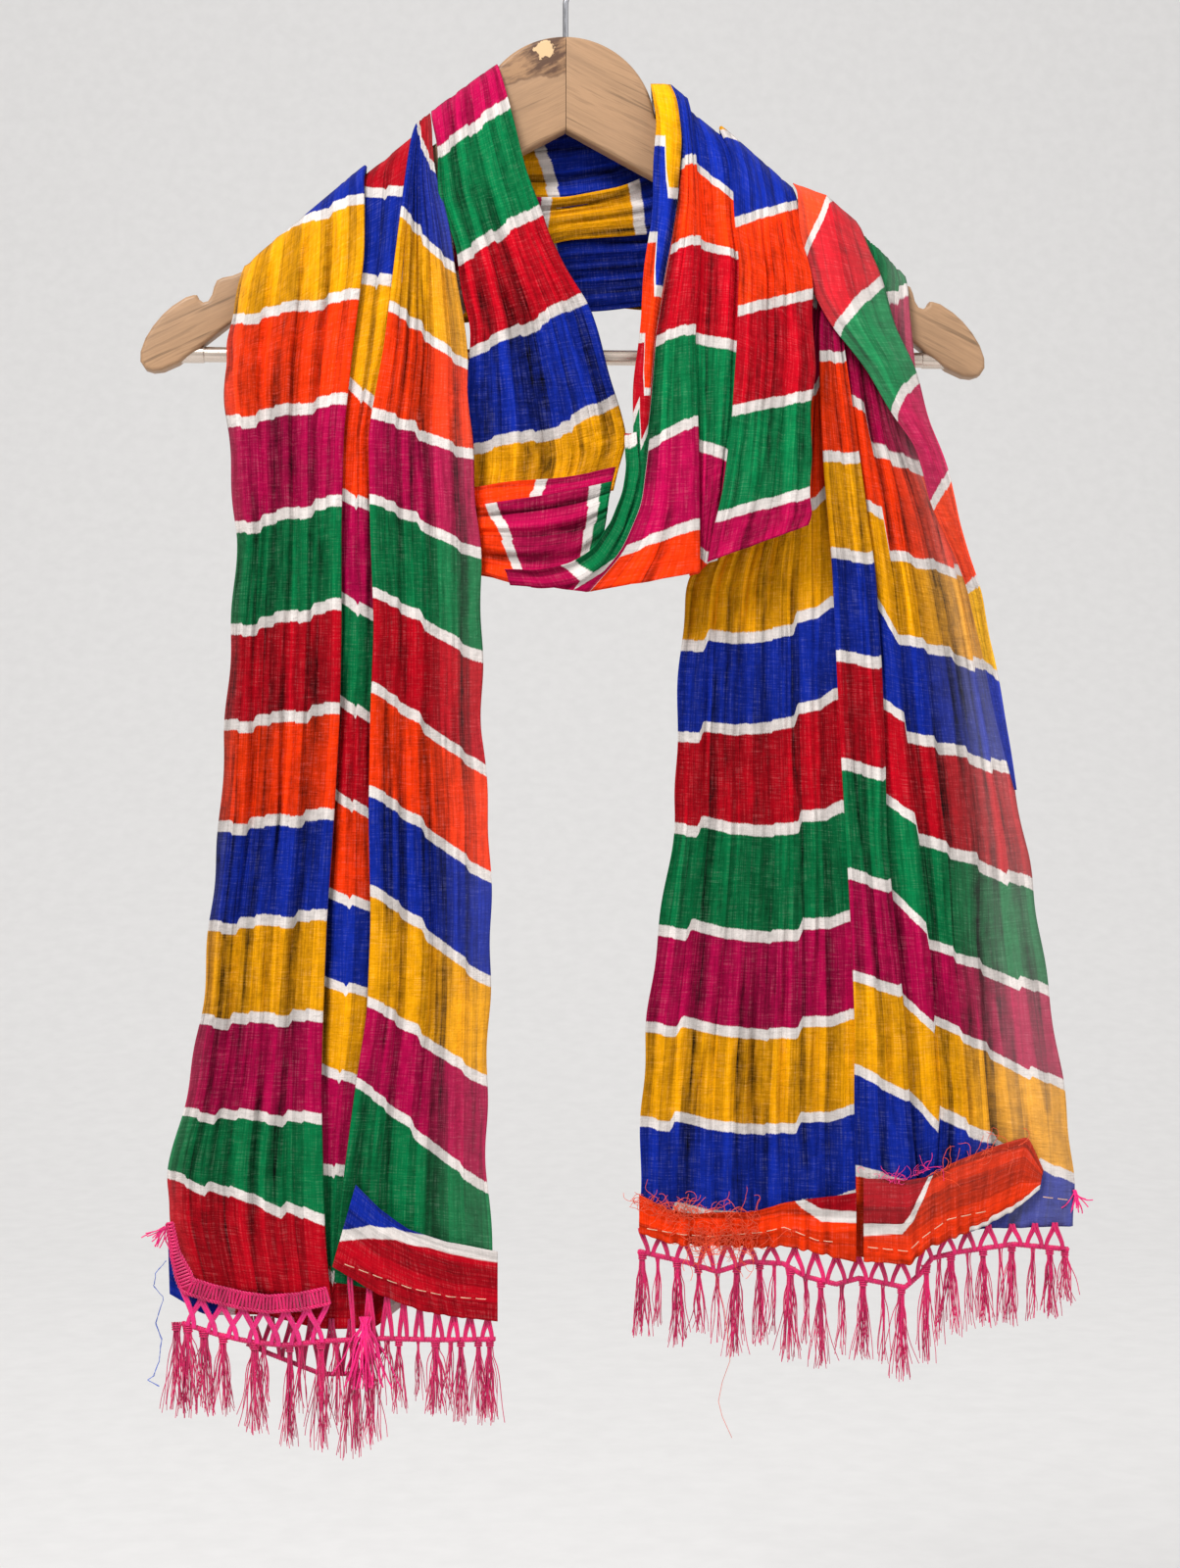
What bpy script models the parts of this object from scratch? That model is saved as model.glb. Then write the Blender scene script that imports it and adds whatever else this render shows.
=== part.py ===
# A striped, crinkled stole wound once round the neck of a wooden hanger, with its two tails
# hanging in front. Lengths are millimetres here and become metres when a mesh is made.
# +X is the viewer's right, -Y the front, +Z up; the origin is where the hook bears on its rail.
import math

import bmesh
import bpy
from mathutils import Matrix, Vector

MM = 0.001
CLOTH_WALL = 1.2          # thickness of one layer of cloth
SEAM = 0.3                # air left between two pieces that touch
LAYER = 2.6               # from one layer of a flat fold to the next
TURN_SHARE = 0.16         # part of a strip that a tucked fold takes at its end
STEP_SHARE = 0.12         # the same for an open step
PLEAT_STEPS = 3           # points along one soft pleat
WOOD_HALF = 6.0           # half the thickness of the hanger's wood
DOME_RADIUS = 47.0        # round top of the hanger
DOME_CENTRE = -114.0      # height of its centre
BAR_RADIUS = 4.5
BAR_HEIGHT = -234.5
BAR_HALF = 202.0          # half the bar's length, its ends in the wood
BAR_FIT = 0.35            # air round the bar in its holes
WIRE = 1.5                # radius of the hook's wire
HOOK_RADIUS = 20.0        # inside the bend that hangs on the rail
TAPE_HEIGHT = 9.5         # woven tape along the left hem
TAPE_WALL = 1.4
CORD_HEIGHT = 3.0         # chain cord that the tassels hang from
CORD_WALL = 1.8

# Sections of the cloth. Each row gives x and z at every fold line from left to right,
# then y, then how deep its pleats are, from 0 where the cloth is pulled flat to 1.
TAIL_LEFT = [
    # left edge   first fold    second fold   right edge    y    pleated
    (-168, -188,  -106, -135,  -78, -112,   -71, -107,   -1.2, 0.0),
    (-169, -193.4, -107, -141, -80, -119,   -70, -115,   -9.5, 0.2),
    (-172, -208,  -106, -156,  -83, -142,   -69, -141,  -14.0, 0.6),
    (-175, -227,  -106, -186,  -87, -177,   -60, -178,  -19.0, 1.0),
    (-176, -250,  -112, -237,  -93, -232,   -51, -242,  -26.0, 1.0),
    (-173, -279,  -116, -278,  -101, -278,  -49, -278,  -32.0, 1.0),
    (-169, -331,  -117, -327,  -100, -327,  -46, -330,  -38.0, 1.0),
    (-172, -379,  -117, -379,  -98, -379,   -45, -379,  -37.0, 1.0),
    (-174, -424,  -118, -424,  -100, -424,  -44, -424,  -34.0, 1.0),
    (-177, -474,  -121, -474,  -101, -474,  -40, -474,  -30.0, 1.0),
    (-184, -529,  -125, -529,  -100, -529,  -40, -530,  -27.0, 1.0),
    (-188, -577,  -127, -577,  -102, -577,  -41, -577,  -25.0, 1.0),
    (-194, -615,  -128, -615,  -108, -615,  -41, -616,  -24.0, 1.0),
    (-205, -660,  -127, -661,  -114, -661,  -41, -661,  -23.0, 1.0),
    (-205, -684,  -126, -692,  -117, -691,  -39, -700,  -22.0, 1.0),
    (-196, -711,  -123, -720,  -119, -707,  -37, -733,  -22.0, 1.0),
]
TAIL_RIGHT = [
    # left edge  main fold    second fold  third fold   fourth fold  right edge    y    pleated
    (129, -146,  141, -152,  150, -161,  158, -169,  168, -178,  180, -190.3, -0.6, 0.0),
    (128, -155,  141, -161,  150, -170,  159, -178,  169, -186,  180, -197.2, -9.5, 0.2),
    (128, -182,  138, -186,  147, -191,  156, -198,  166, -207,  181, -215,  -14.0, 0.6),
    (122, -214,  132, -219,  142, -224,  151, -229,  163, -239,  183, -250,  -19.0, 1.0),
    (112, -256,  132, -260,  147, -265,  156, -270,  172, -278,  192, -288,  -23.0, 1.0),
    (89, -302,   134, -301,  152, -304,  162, -306,  184, -316,  202, -321,  -26.0, 1.0),
    (63, -354,   138, -348,  158, -350,  169, -357,  195, -362,  213, -365,  -28.0, 1.0),
    (59, -389,   140, -394,  161, -394,  173, -398,  201, -403,  221, -403,  -28.0, 1.0),
    (56, -434,   142, -436,  163, -439,  176, -441,  207, -441,  229, -444,  -28.0, 1.0),
    (55, -478,   145, -484,  164, -487,  182, -487,  213, -492,  238, -490,  -27.0, 1.0),
    (48, -534,   148, -534,  169, -536,  187, -536,  214, -541,  247, -537,  -26.0, 1.0),
    (42, -581,   150, -581,  174, -582,  191, -582,  218, -587,  255, -587,  -25.0, 1.0),
    (38, -626,   150, -628,  177, -630,  194, -628,  222, -630,  261, -633,  -24.0, 1.0),
    (37, -662,   151, -665,  181, -667,  192, -664,  225, -661,  264, -664,  -23.0, 1.0),
    (38, -688,   151, -704,  176, -708,  186, -697,  217, -691,  265, -690,  -23.0, 1.0),
]
LOOP_RIGHT = [
    # rolled edge  first fold   second fold  third fold   right edge    y    pleated
    (45, -90,    55, -90,    64, -97,     83, -112,   120, -144,   -2.0, 0.0),
    (45, -97,    58, -99,    65, -106,    84, -119,   121, -151,   -9.5, 0.2),
    (47, -114,   60, -121,   67, -131,    88, -134,   122, -170,  -15.0, 0.6),
    (44, -149,   58, -151,   68, -160,    88, -161,   124, -185,  -22.0, 1.0),
    (41, -176,   53, -181,   68, -183,    90, -189,   126, -205,  -29.0, 1.0),
    (36, -229,   44, -231,   64, -229,    88, -231,   127, -247,  -38.0, 1.0),
    (33, -279,   40, -280,   65, -280,    84, -278,   124, -284,  -46.0, 1.0),
    (29, -315,   36, -317,   65, -317,    79, -311,   123, -312,  -51.0, 1.0),
    (17, -339,   26, -341,   65, -339,    74, -331,   122, -321,  -53.0, 1.0),
    (-9, -360,   8, -362,    65, -352,    71, -346,   120, -328,  -54.0, 1.0),
]
LOOP_LEFT = [
    # left edge   third        two thirds   right edge    y    pleated
    (-67, -103,  -56, -95,    -45, -87,    -36, -80.8,  -0.8, 0.0),
    (-68, -109,  -56, -101,   -44, -92,    -35, -84,    -9.0, 0.4),
    (-67, -130,  -55, -124,   -41, -117,   -29, -109,  -14.0, 1.0),
    (-65, -155,  -50, -151,   -34, -146,   -19, -141,  -16.0, 1.0),
    (-57, -184,  -41, -181,   -25, -177,   -10, -172,  -18.0, 1.0),
    (-51, -221,  -31, -218,   -11, -214,    10, -209,  -20.0, 1.0),
    (-53, -265,  -26, -264,    0, -262,     26, -259,  -21.5, 1.0),
    (-53, -297,  -25, -295,    5, -289,     31, -282,  -22.5, 1.0),
    (-57, -318,  -27, -315,   -2, -311,     24, -307,  -22.7, 0.0),
]
LOOP_BOTTOM = [
    # top edge    fold         bottom edge   y    pleated
    (-56, -306,  -55, -316,   -54, -350,   -24.4, 0.4),
    (-45, -307,  -44, -317,   -42, -353,   -28.0, 1.0),
    (-29, -305,  -29, -315,   -30, -357,   -32.5, 1.0),
    (-14, -303,  -14, -313,   -16, -359,   -35.5, 1.0),
    (9, -300,     8, -309,     2, -357,    -38.5, 1.0),
    (24, -297,   22, -306,    17, -342,    -40.0, 1.0),
]
ROLLED_EDGE = [
    # inner edge  outer edge    y    pleated
    (29, -281,   35, -280,   -48.6, 0.6),
    (29, -298,   36, -298,   -51.5, 1.0),
    (27, -312,   33, -314,   -54.0, 1.0),
    (22, -327,   28, -331,   -55.5, 1.0),
    (12, -340,   18, -347,   -56.5, 1.0),
    (-1, -347,    5, -356,   -57.0, 1.0),
    (-18, -351, -12, -360,   -55.0, 1.0),
    (-33, -350, -30, -358,   -48.5, 0.6),
]
SHOULDER_FOLD = [
    # left edge   middle       right edge    y    pleated
    (124, -142.5, 139, -148.3, 153, -160.7, -1.4, 0.0),
    (124, -150,  139, -156,   154, -168,  -12.0, 0.2),
    (126, -175,  143, -178,   160, -185,  -20.0, 1.0),
    (130, -203,  148, -204,   166, -205,  -26.0, 1.0),
    (140, -223,  156, -223,   171, -224,  -30.0, 1.0),
    (151, -242,  165, -242,   178, -243,  -32.0, 1.0),
    (167, -267,  176, -268,   186, -269,  -34.0, 1.0),
    (178, -283,  185, -284,   192, -286,  -35.0, 1.0),
    (187, -311,  194, -312,   201, -313,  -35.0, 1.0),
    (200, -340,  204, -341,   208, -342,  -34.0, 0.8),
    (208, -361,  211, -362,   214, -362,  -33.0, 0.4),
]
WRAP_INNER = [
    # outer edge   middle       inner edge    y outer  y inner  pleated
    (-167, -188,  -120, -148,  -74, -110,    1.0,   1.0, 0.0),
    (-167, -192.8, -120, -154,  -75, -116,    9.5,   9.5, 0.2),
    (-160, -212,  -118, -180,  -73, -124,   13.0,  11.5, 1.0),
    (-118, -218,  -86, -186,   -56, -118,   15.0,  12.5, 1.0),
    (-58, -214,   -42, -172,   -28, -110,   16.0,  13.0, 1.0),
    (0, -207,      0, -160,     0, -104,    16.0,  13.0, 1.0),
    (46, -203,    36, -156,    24, -100,    16.0,  13.0, 1.0),
    (92, -196,    70, -150,    42, -101,    15.0,  12.5, 1.0),
    (116, -168,   84, -134,    48, -101,   12.0,  11.5, 1.0),
    (120, -150,   86, -121,    47, -97,     9.5,   9.5, 0.2),
    (119, -144,   84, -114,    46, -90,     2.0,   2.0, 0.0),
]
WRAP_OUTER = [
    # outer edge  middle       inner edge   y outer  y inner  pleated
    (-67, -103,  -51, -91,    -36, -81.3,   0.7,   0.7, 0.0),
    (-66, -107,  -51, -96,    -35, -83.6,   9.0,   9.0, 0.2),
    (-64, -117,  -49, -107,   -34, -92,    20.5,  20.5, 0.8),
    (-58, -150,  -42, -124,   -26, -97,    24.0,  22.5, 1.0),
    (-34, -186,  -22, -142,   -10, -97,    26.0,  23.5, 1.0),
    (12, -205,   14, -154,    16, -98,     27.0,  24.0, 1.0),
    (62, -214,   54, -164,    46, -105,    27.0,  24.0, 1.0),
    (114, -224,  98, -176,    82, -121,    26.0,  23.0, 1.0),
    (160, -226,  138, -190,   112, -138,   20.0,  21.0, 1.0),
    (180, -197,  154, -171,   128, -149,   10.0,  12.0, 0.2),
    (180, -189.3, 154, -163,  129, -146,    0.6,   0.6, 0.0),
]
HEM_LEFT = [
    # upper edge   lower edge    y    pleated
    (-117, -690,  -121, -707,  -24.0, 0.0),
    (-98, -694,   -97, -722,   -25.6, 0.8),
    (-78, -696,   -72, -730,   -25.8, 0.8),
    (-58, -699,   -54, -734,   -25.8, 0.8),
    (-36, -702,   -36, -736,   -25.4, 0.0),
]
HEM_RIGHT = [
    # upper edge  lower edge    y    pleated
    (37, -673,   37, -691,   -26.6, 0.0),
    (66, -678,   66, -697,   -27.6, 1.0),
    (94, -678,   94, -698,   -27.6, 1.0),
    (112, -675,  112, -697,  -27.6, 1.0),
    (134, -674,  134, -704,  -27.8, 1.0),
    (142, -672,  142, -705,  -30.2, 0.4),
    (149, -670,  149, -706,  -32.4, 0.0),
]
HEM_FLAP = [
    # upper edge   lower edge    y    pleated
    (154, -663,   154, -706,  -30.8, 0.4),
    (176, -664,   177, -708,  -31.0, 0.8),
    (188, -661,   186, -698,  -30.5, 1.0),
    (200, -654,   200, -693,  -28.4, 1.0),
    (220, -648,   216, -689,  -27.4, 1.0),
    (240, -642,   233, -680,  -26.6, 0.6),
    (247, -662,   243, -670,  -26.2, 0.0),
]

# Folds across each piece: soft pleats and their height for each strip between fold lines,
# and at each fold line the overlap, plus where the left strip lies on top. A tucked piece
# keeps its flat folds right over the hanger; the others only step from strip to strip.
FOLDS = {
    "tail_left": dict(pleats=((4, 1.7), (1, 0.8), (4, 1.6)), turns=(4.0, -4.0), tucked=True),
    "tail_right": dict(pleats=((6, 1.7), (1, 0.9), (1, 0.9), (2, 1.1), (2, 0.9)),
                       turns=(-3.0, 3.0, 0.0, 0.0), tucked=False),
    "loop_right": dict(pleats=((1, 0.5), (2, 1.0), (1, 1.2), (3, 1.5)),
                       turns=(0.0, 3.0, -3.0), tucked=True),
    "loop_left": dict(pleats=((1, 1.3), (2, 1.2), (1, 1.3)), turns=(0.0, 0.0), tucked=False),
    "loop_bottom": dict(pleats=((1, 0.6), (3, 1.2)), turns=(-3.0,), tucked=False),
    "rolled_edge": dict(pleats=((0.5, 1.8),), turns=(), tucked=False),
    "shoulder_fold": dict(pleats=((1, 0.9), (1, 0.9)), turns=(0.0,), tucked=False),
    "wrap_inner": dict(pleats=((2, 1.5), (3, 1.5)), turns=(0.0,), tucked=False),
    "wrap_outer": dict(pleats=((3, 1.6), (2, 1.6)), turns=(0.0,), tucked=False),
    "hem_left": dict(pleats=((0.5, 0.6),), turns=(), tucked=False),
    "hem_right": dict(pleats=((0.5, 0.7),), turns=(), tucked=False),
    "hem_flap": dict(pleats=((1, 0.8),), turns=(), tucked=False),
}

COLOURS = {
    "magenta": (0.46, 0.005, 0.11), "red": (0.52, 0.010, 0.025), "orange": (0.84, 0.09, 0.012),
    "yellow": (0.86, 0.47, 0.004), "green": (0.004, 0.22, 0.07), "blue": (0.02, 0.03, 0.30),
    "trim": (0.68, 0.01, 0.13), "wood": (0.61, 0.41, 0.22), "bar": (0.52, 0.40, 0.31),
    "steel": (0.33, 0.33, 0.36),
}


def clear_scene():
    for item in list(bpy.data.objects):
        bpy.data.objects.remove(item, do_unlink=True)


def collection(name):
    group = bpy.data.collections.new(name)
    bpy.context.scene.collection.children.link(group)
    return group


def material(name, colour, roughness, metallic=0.0):
    finish = bpy.data.materials.new(name)
    finish.use_nodes = True
    shader = finish.node_tree.nodes["Principled BSDF"]
    shader.inputs["Base Color"].default_value = (*COLOURS[colour], 1.0)
    shader.inputs["Roughness"].default_value = roughness
    shader.inputs["Metallic"].default_value = metallic
    return finish


def add_object(name, data, finish, group):
    item = bpy.data.objects.new(name, data)
    data.materials.append(finish)
    group.objects.link(item)
    return item


def add_bmesh(name, bm, finish, group):
    mesh = bpy.data.meshes.new(name)
    bm.to_mesh(mesh)
    bm.free()
    return add_object(name, mesh, finish, group)


def profile(pleats, turns, tucked):
    """Points across one section: place, shift along it, level of the layer, and pleat depth."""
    points = []
    level = 0.0
    for strip, (count, height) in enumerate(pleats):
        turned_before = strip > 0 and turns[strip - 1] != 0
        turned_after = strip < len(turns) and turns[strip] != 0
        share = TURN_SHARE if tucked else STEP_SHARE
        first = share if turned_before else 0.0
        last = share if turned_after else 0.0
        steps = max(2, round(count * PLEAT_STEPS))
        for i in range(steps + 1):
            if strip and i == 0 and not turned_before:
                continue
            place = strip + first + (1 - first - last) * i / steps
            uneven = 1 + 0.35 * math.sin(2.3 * i + 1.7 * strip)
            wave = height * uneven * math.sin(2 * math.pi * count * i / steps)
            points.append((place, 0.0, level, wave))
        if not turned_after:
            continue
        overlap = abs(turns[strip])
        drop = -math.copysign(LAYER, turns[strip])
        if not tucked:
            points.append((strip + 1 - share / 3, 0.0, level + drop * 0.4, 0.0))
            points.append((strip + 1 + share / 3, 0.0, level + drop * 1.6, 0.0))
        elif turns[strip] > 0:
            shifts = (0.0, 1.1, 0.0, -overlap, -overlap - 1.1, -overlap)
        else:
            shifts = (overlap, overlap + 1.1, overlap, 0.0, -1.1, 0.0)
        if tucked:
            for shift, depth in zip(shifts, (0.0, 0.5, 1.0, 1.0, 1.5, 2.0)):
                points.append((strip + 1, shift, level + drop * depth, 0.0))
        level += 2 * drop
    return points


def smooth_rows(rows, between):
    """Adds rows between the given ones on a smooth curve through them."""
    result = []
    last = len(rows) - 1
    for i in range(last):
        before, start, end, after = (rows[max(i - 1, 0)], rows[i], rows[i + 1],
                                     rows[min(i + 2, last)])
        for k in range(between + 1):
            t = k / (between + 1)
            result.append([
                0.5 * (2 * b + (c - a) * t + (2 * a - 5 * b + 4 * c - d) * t * t
                       + (3 * b - a - 3 * c + d) * t ** 3)
                for a, b, c, d in zip(before, start, end, after)])
    result.append(list(rows[last]))
    return result


def stations(row, depths):
    """The row's fold lines as points; one y for the row, or one for each end."""
    count = (len(row) - 1 - depths) // 2
    ys = row[2 * count:2 * count + depths]
    points = []
    for i in range(count):
        t = i / (count - 1)
        y = ys[0] + (ys[-1] - ys[0]) * t
        points.append(Vector((row[2 * i], y, row[2 * i + 1])))
    return points


def along_stations(points, place):
    index = min(int(place), len(points) - 2)
    return points[index].lerp(points[index + 1], place - index)


def cloth(name, rows, finish, group, between=0, depths=1, flip=1.0):
    """One stretch of cloth: a loft through its sections, given its wall by Solidify."""
    table = smooth_rows(rows, between)
    lines = [stations(row, depths) for row in table]
    section = profile(**FOLDS[name])
    tucked = FOLDS[name]["tucked"]
    centres = [sum(line, Vector()) / len(line) for line in lines]
    bm = bmesh.new()
    grid = []
    for r, line in enumerate(lines):
        across = (line[-1] - line[0]).normalized()
        down = centres[min(r + 1, len(lines) - 1)] - centres[max(r - 1, 0)]
        out = across.cross(down).normalized() * -flip
        pleated = table[r][-1]
        points = []
        for place, shift, level, wave in section:
            spot = along_stations(line, place) + across * shift
            rise = wave * pleated + level * (1.0 if tucked else pleated)
            points.append(bm.verts.new((spot + out * rise) * MM))
        grid.append(points)
    for upper, lower in zip(grid, grid[1:]):
        for i in range(len(upper) - 1):
            bm.faces.new((upper[i], lower[i], lower[i + 1], upper[i + 1]))
    for face in bm.faces:
        face.smooth = True
    piece = add_bmesh(name, bm, finish, group)
    wall = piece.modifiers.new("wall", "SOLIDIFY")
    wall.thickness = CLOTH_WALL * MM
    wall.offset = 0.0
    return piece


def arm_outline(side):
    """Outline of one half of the hanger, from its top down to the tip and back under."""
    points = []
    turn = math.radians(84)
    for i in range(9):
        angle = turn * i / 8
        points.append((DOME_RADIUS * math.sin(angle), DOME_CENTRE + DOME_RADIUS * math.cos(angle)))
    points += [(52, -113), (167, -191), (179, -195), (183, -199), (186, -207), (189, -208),
               (192, -204), (196, -205), (205, -210), (214, -219), (220, -229), (222, -238),
               (219, -243), (212, -243.5), (202, -240), (176, -220), (0, -116)]
    points[0] = (0, points[0][1])
    gap = SEAM / 2
    return [(side * max(x, gap), z) for x, z in points]


def hanger_half(name, side, finish, parts, cutters):
    bm = bmesh.new()
    ring = [bm.verts.new((x * MM, -WOOD_HALF * MM, z * MM)) for x, z in arm_outline(side)]
    face = bm.faces.new(ring)
    made = bmesh.ops.extrude_face_region(bm, geom=[face])
    moved = [v for v in made["geom"] if isinstance(v, bmesh.types.BMVert)]
    bmesh.ops.translate(bm, verts=moved, vec=(0, 2 * WOOD_HALF * MM, 0))
    bmesh.ops.recalc_face_normals(bm, faces=bm.faces)
    piece = add_bmesh(name, bm, finish, parts)
    edge = piece.modifiers.new("rounded edge", "BEVEL")
    edge.width = 1.6 * MM
    edge.segments = 2
    edge.limit_method = "ANGLE"
    edge.angle_limit = math.radians(60)
    hole = round_bar(name + "_hole", BAR_RADIUS + BAR_FIT, BAR_HALF + BAR_FIT, finish, cutters)
    hole.hide_render = True
    hole.display_type = "WIRE"
    cut = piece.modifiers.new("bar hole", "BOOLEAN")
    cut.object = hole
    cut.operation = "DIFFERENCE"
    return piece


def round_bar(name, radius, half, finish, group):
    bm = bmesh.new()
    bmesh.ops.create_cone(bm, cap_ends=True, segments=20, radius1=radius * MM, radius2=radius * MM,
                          depth=2 * half * MM)
    bmesh.ops.rotate(bm, verts=bm.verts, matrix=Matrix.Rotation(math.pi / 2, 3, "Y"))
    bmesh.ops.translate(bm, verts=bm.verts, vec=(0, 0, BAR_HEIGHT * MM))
    return add_bmesh(name, bm, finish, group)


def hook(name, finish, group):
    """Steel wire: a straight stem from the wood, an easy swing aside, then round the rail."""
    middle = HOOK_RADIUS + WIRE
    centre = -HOOK_RADIUS
    foot = DOME_CENTRE + DOME_RADIUS + SEAM
    route = [(0, foot), (0, foot + 9), (0, foot + 18.5), (0.6, foot + 20.8), (2.0, foot + 22.8),
             (4.6, foot + 24.6)]
    for i in range(25):
        angle = math.radians(-57 + 257 * i / 24)
        route.append((middle * math.cos(angle), centre + middle * math.sin(angle)))
    curve = bpy.data.curves.new(name, "CURVE")
    curve.dimensions = "3D"
    curve.bevel_depth = WIRE * MM
    curve.bevel_resolution = 2
    curve.use_fill_caps = True
    line = curve.splines.new("POLY")
    line.points.add(len(route) - 1)
    for point, (x, z) in zip(line.points, route):
        point.co = (x * MM, 0, z * MM, 1)
    return add_object(name, curve, finish, group)


def follow(route, distance):
    """Point at a distance along a chain of points."""
    for start, end in zip(route, route[1:]):
        length = (end - start).length
        if distance <= length:
            return start.lerp(end, distance / length)
        distance -= length
    return route[-1].copy()


def route_length(route):
    return sum((b - a).length for a, b in zip(route, route[1:]))


def trim_strip(name, route, y, height, wall, pitch, finish, group, below=None, above=None):
    """A strip along a route, with strands drawn out of its lower and upper faces."""
    path = [Vector((x, y, z)) for x, z in route]
    total = route_length(path)
    cells = max(2, round(total / pitch)) * 2
    rings = []
    bm = bmesh.new()
    for i in range(cells + 1):
        middle = follow(path, total * i / cells)
        corners = [(-wall / 2, -height / 2), (wall / 2, -height / 2),
                   (wall / 2, height / 2), (-wall / 2, height / 2)]
        rings.append([bm.verts.new((middle + Vector((0, dy, dz))) * MM) for dy, dz in corners])
    lower, upper = [], []
    for a, b in zip(rings, rings[1:]):
        lower.append(bm.faces.new((a[0], b[0], b[1], a[1])))
        bm.faces.new((a[1], b[1], b[2], a[2]))
        upper.append(bm.faces.new((a[2], b[2], b[3], a[3])))
        bm.faces.new((a[3], b[3], b[0], a[0]))
    bm.faces.new(rings[0])
    bm.faces.new(list(reversed(rings[-1])))
    bmesh.ops.recalc_face_normals(bm, faces=bm.faces)
    if below:
        for i in range(0, cells, 2):
            draw_strand(bm, lower[i], below(i // 2, total * (i + 0.5) / cells))
    if above:
        for i in range(0, cells, 2):
            moves = above(i // 2, follow(path, total * (i + 0.5) / cells))
            if moves:
                draw_strand(bm, upper[i], moves)
    return add_bmesh(name, bm, finish, group)


def draw_strand(bm, face, moves):
    """Draws a face out through the moves, each with a shift and the width it keeps."""
    for shift, width in moves:
        made = bmesh.ops.extrude_discrete_faces(bm, faces=[face])
        face = made["faces"][0]
        middle = face.calc_center_median()
        for vert in face.verts:
            vert.co = middle + (vert.co - middle) * width + Vector(shift) * MM


def tassels(lengths, spread, seed):
    """Moves for each strand: tassels bunch three strands and spread towards their tips."""
    def moves(index, distance):
        place = index / 3.0
        here = lengths[min(int(distance / spread), len(lengths) - 1)]
        side = (index % 3) - 1
        uneven = math.sin(index * 2.7 + seed)
        length = here * (0.9 + 0.1 * uneven)
        lean = 0.9 * side + 0.8 * math.sin(place * 1.9 + seed)
        return [((-0.35 * side, 0.15 * uneven, -length * 0.35), 0.75),
                ((lean, 0.5 * uneven, -length * 0.65), 0.7)]
    return moves


def loops(ceiling):
    """Moves for the little crossed threads between the cord and the edge of the cloth."""
    def moves(index, spot):
        if index % 2 or not ceiling[0][0] < spot.x < ceiling[-1][0]:
            return None
        lean = 1.6 if index % 4 else -1.6
        reach = height_at(ceiling, spot.x + lean) - spot.z - CORD_HEIGHT / 2 - 2 * SEAM
        return [((lean, 0.0, reach), 0.6)]
    return moves


def height_at(line, x):
    for (x0, z0), (x1, z1) in zip(line, line[1:]):
        if x <= x1:
            return z0 + (z1 - z0) * max(0.0, x - x0) / (x1 - x0)
    return line[-1][1]


def build():
    clear_scene()
    parts = collection("stole_on_hanger")
    cutters = collection("cutters")

    wood = material("pale wood", "wood", 0.45)
    hanger_half("hanger_left", -1, wood, parts, cutters)
    hanger_half("hanger_right", 1, wood, parts, cutters)
    round_bar("hanger_bar", BAR_RADIUS, BAR_HALF, material("bar", "bar", 0.25, 0.6), parts)
    hook("hook", material("steel", "steel", 0.25, 1.0), parts)

    pieces = (
        ("tail_left", TAIL_LEFT, "blue", 0, 1, 1.0),
        ("tail_right", TAIL_RIGHT, "yellow", 0, 1, 1.0),
        ("loop_right", LOOP_RIGHT, "orange", 0, 1, 1.0),
        ("loop_left", LOOP_LEFT, "red", 0, 1, 1.0),
        ("loop_bottom", LOOP_BOTTOM, "magenta", 0, 1, -1.0),
        ("rolled_edge", ROLLED_EDGE, "green", 0, 1, 1.0),
        ("shoulder_fold", SHOULDER_FOLD, "red", 0, 1, 1.0),
        ("wrap_inner", WRAP_INNER, "blue", 0, 2, 1.0),
        ("wrap_outer", WRAP_OUTER, "green", 0, 2, 1.0),
        ("hem_left", HEM_LEFT, "red", 0, 1, -1.0),
        ("hem_right", HEM_RIGHT, "orange", 0, 1, -1.0),
        ("hem_flap", HEM_FLAP, "orange", 0, 1, -1.0),
    )
    for name, rows, colour, between, depths, flip in pieces:
        finish = material("cloth " + name.replace("_", " "), colour, 0.55)
        cloth(name, rows, finish, parts, between, depths, flip)

    trim = material("pink trim", "trim", 0.6)
    trim_strip("tape_left", [(-204, -684), (-201, -700), (-195, -716), (-183, -720), (-167, -724),
                             (-154, -726), (-138, -725), (-123, -722)],
               -25.0, TAPE_HEIGHT, TAPE_WALL, 12.0, trim, parts)
    trim_strip("fringe_left", [(-198, -736), (-180, -742), (-163, -746), (-146, -748),
                               (-125, -746), (-95, -745), (-67, -746), (-37, -746)],
               -22.0, CORD_HEIGHT, CORD_WALL, 4.0, trim, parts,
               below=tassels((44, 42, 46, 52, 56, 60, 40, 38, 42, 44), 16.5, 0.3),
               above=loops([(-197, -711), (-123, -720), (-119, -724), (-96, -722), (-37, -736)]))
    trim_strip("fringe_right", [(37, -701), (62, -707), (78, -712), (94, -707), (112, -708),
                                (124, -715), (140, -719), (152, -716), (176, -721), (184, -714),
                                (190, -706), (203, -703), (233, -699), (262, -702)],
               -23.0, CORD_HEIGHT, CORD_WALL, 4.6, trim, parts,
               below=tassels((38, 36, 36, 44, 38, 42, 42, 40, 44, 44, 42, 38, 38, 40, 34), 15.6, 1.1),
               above=loops([(38, -688), (151, -704), (164, -709), (178, -709), (187, -698), (217, -691),
                            (264, -690)]))


build()
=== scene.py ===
# A crinkled stole in broad colour blocks, wound once round the neck of a wooden hanger.
# Tables are in millimetres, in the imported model's own frame: +X right, -Y front, +Z up.
import math
import random

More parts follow.
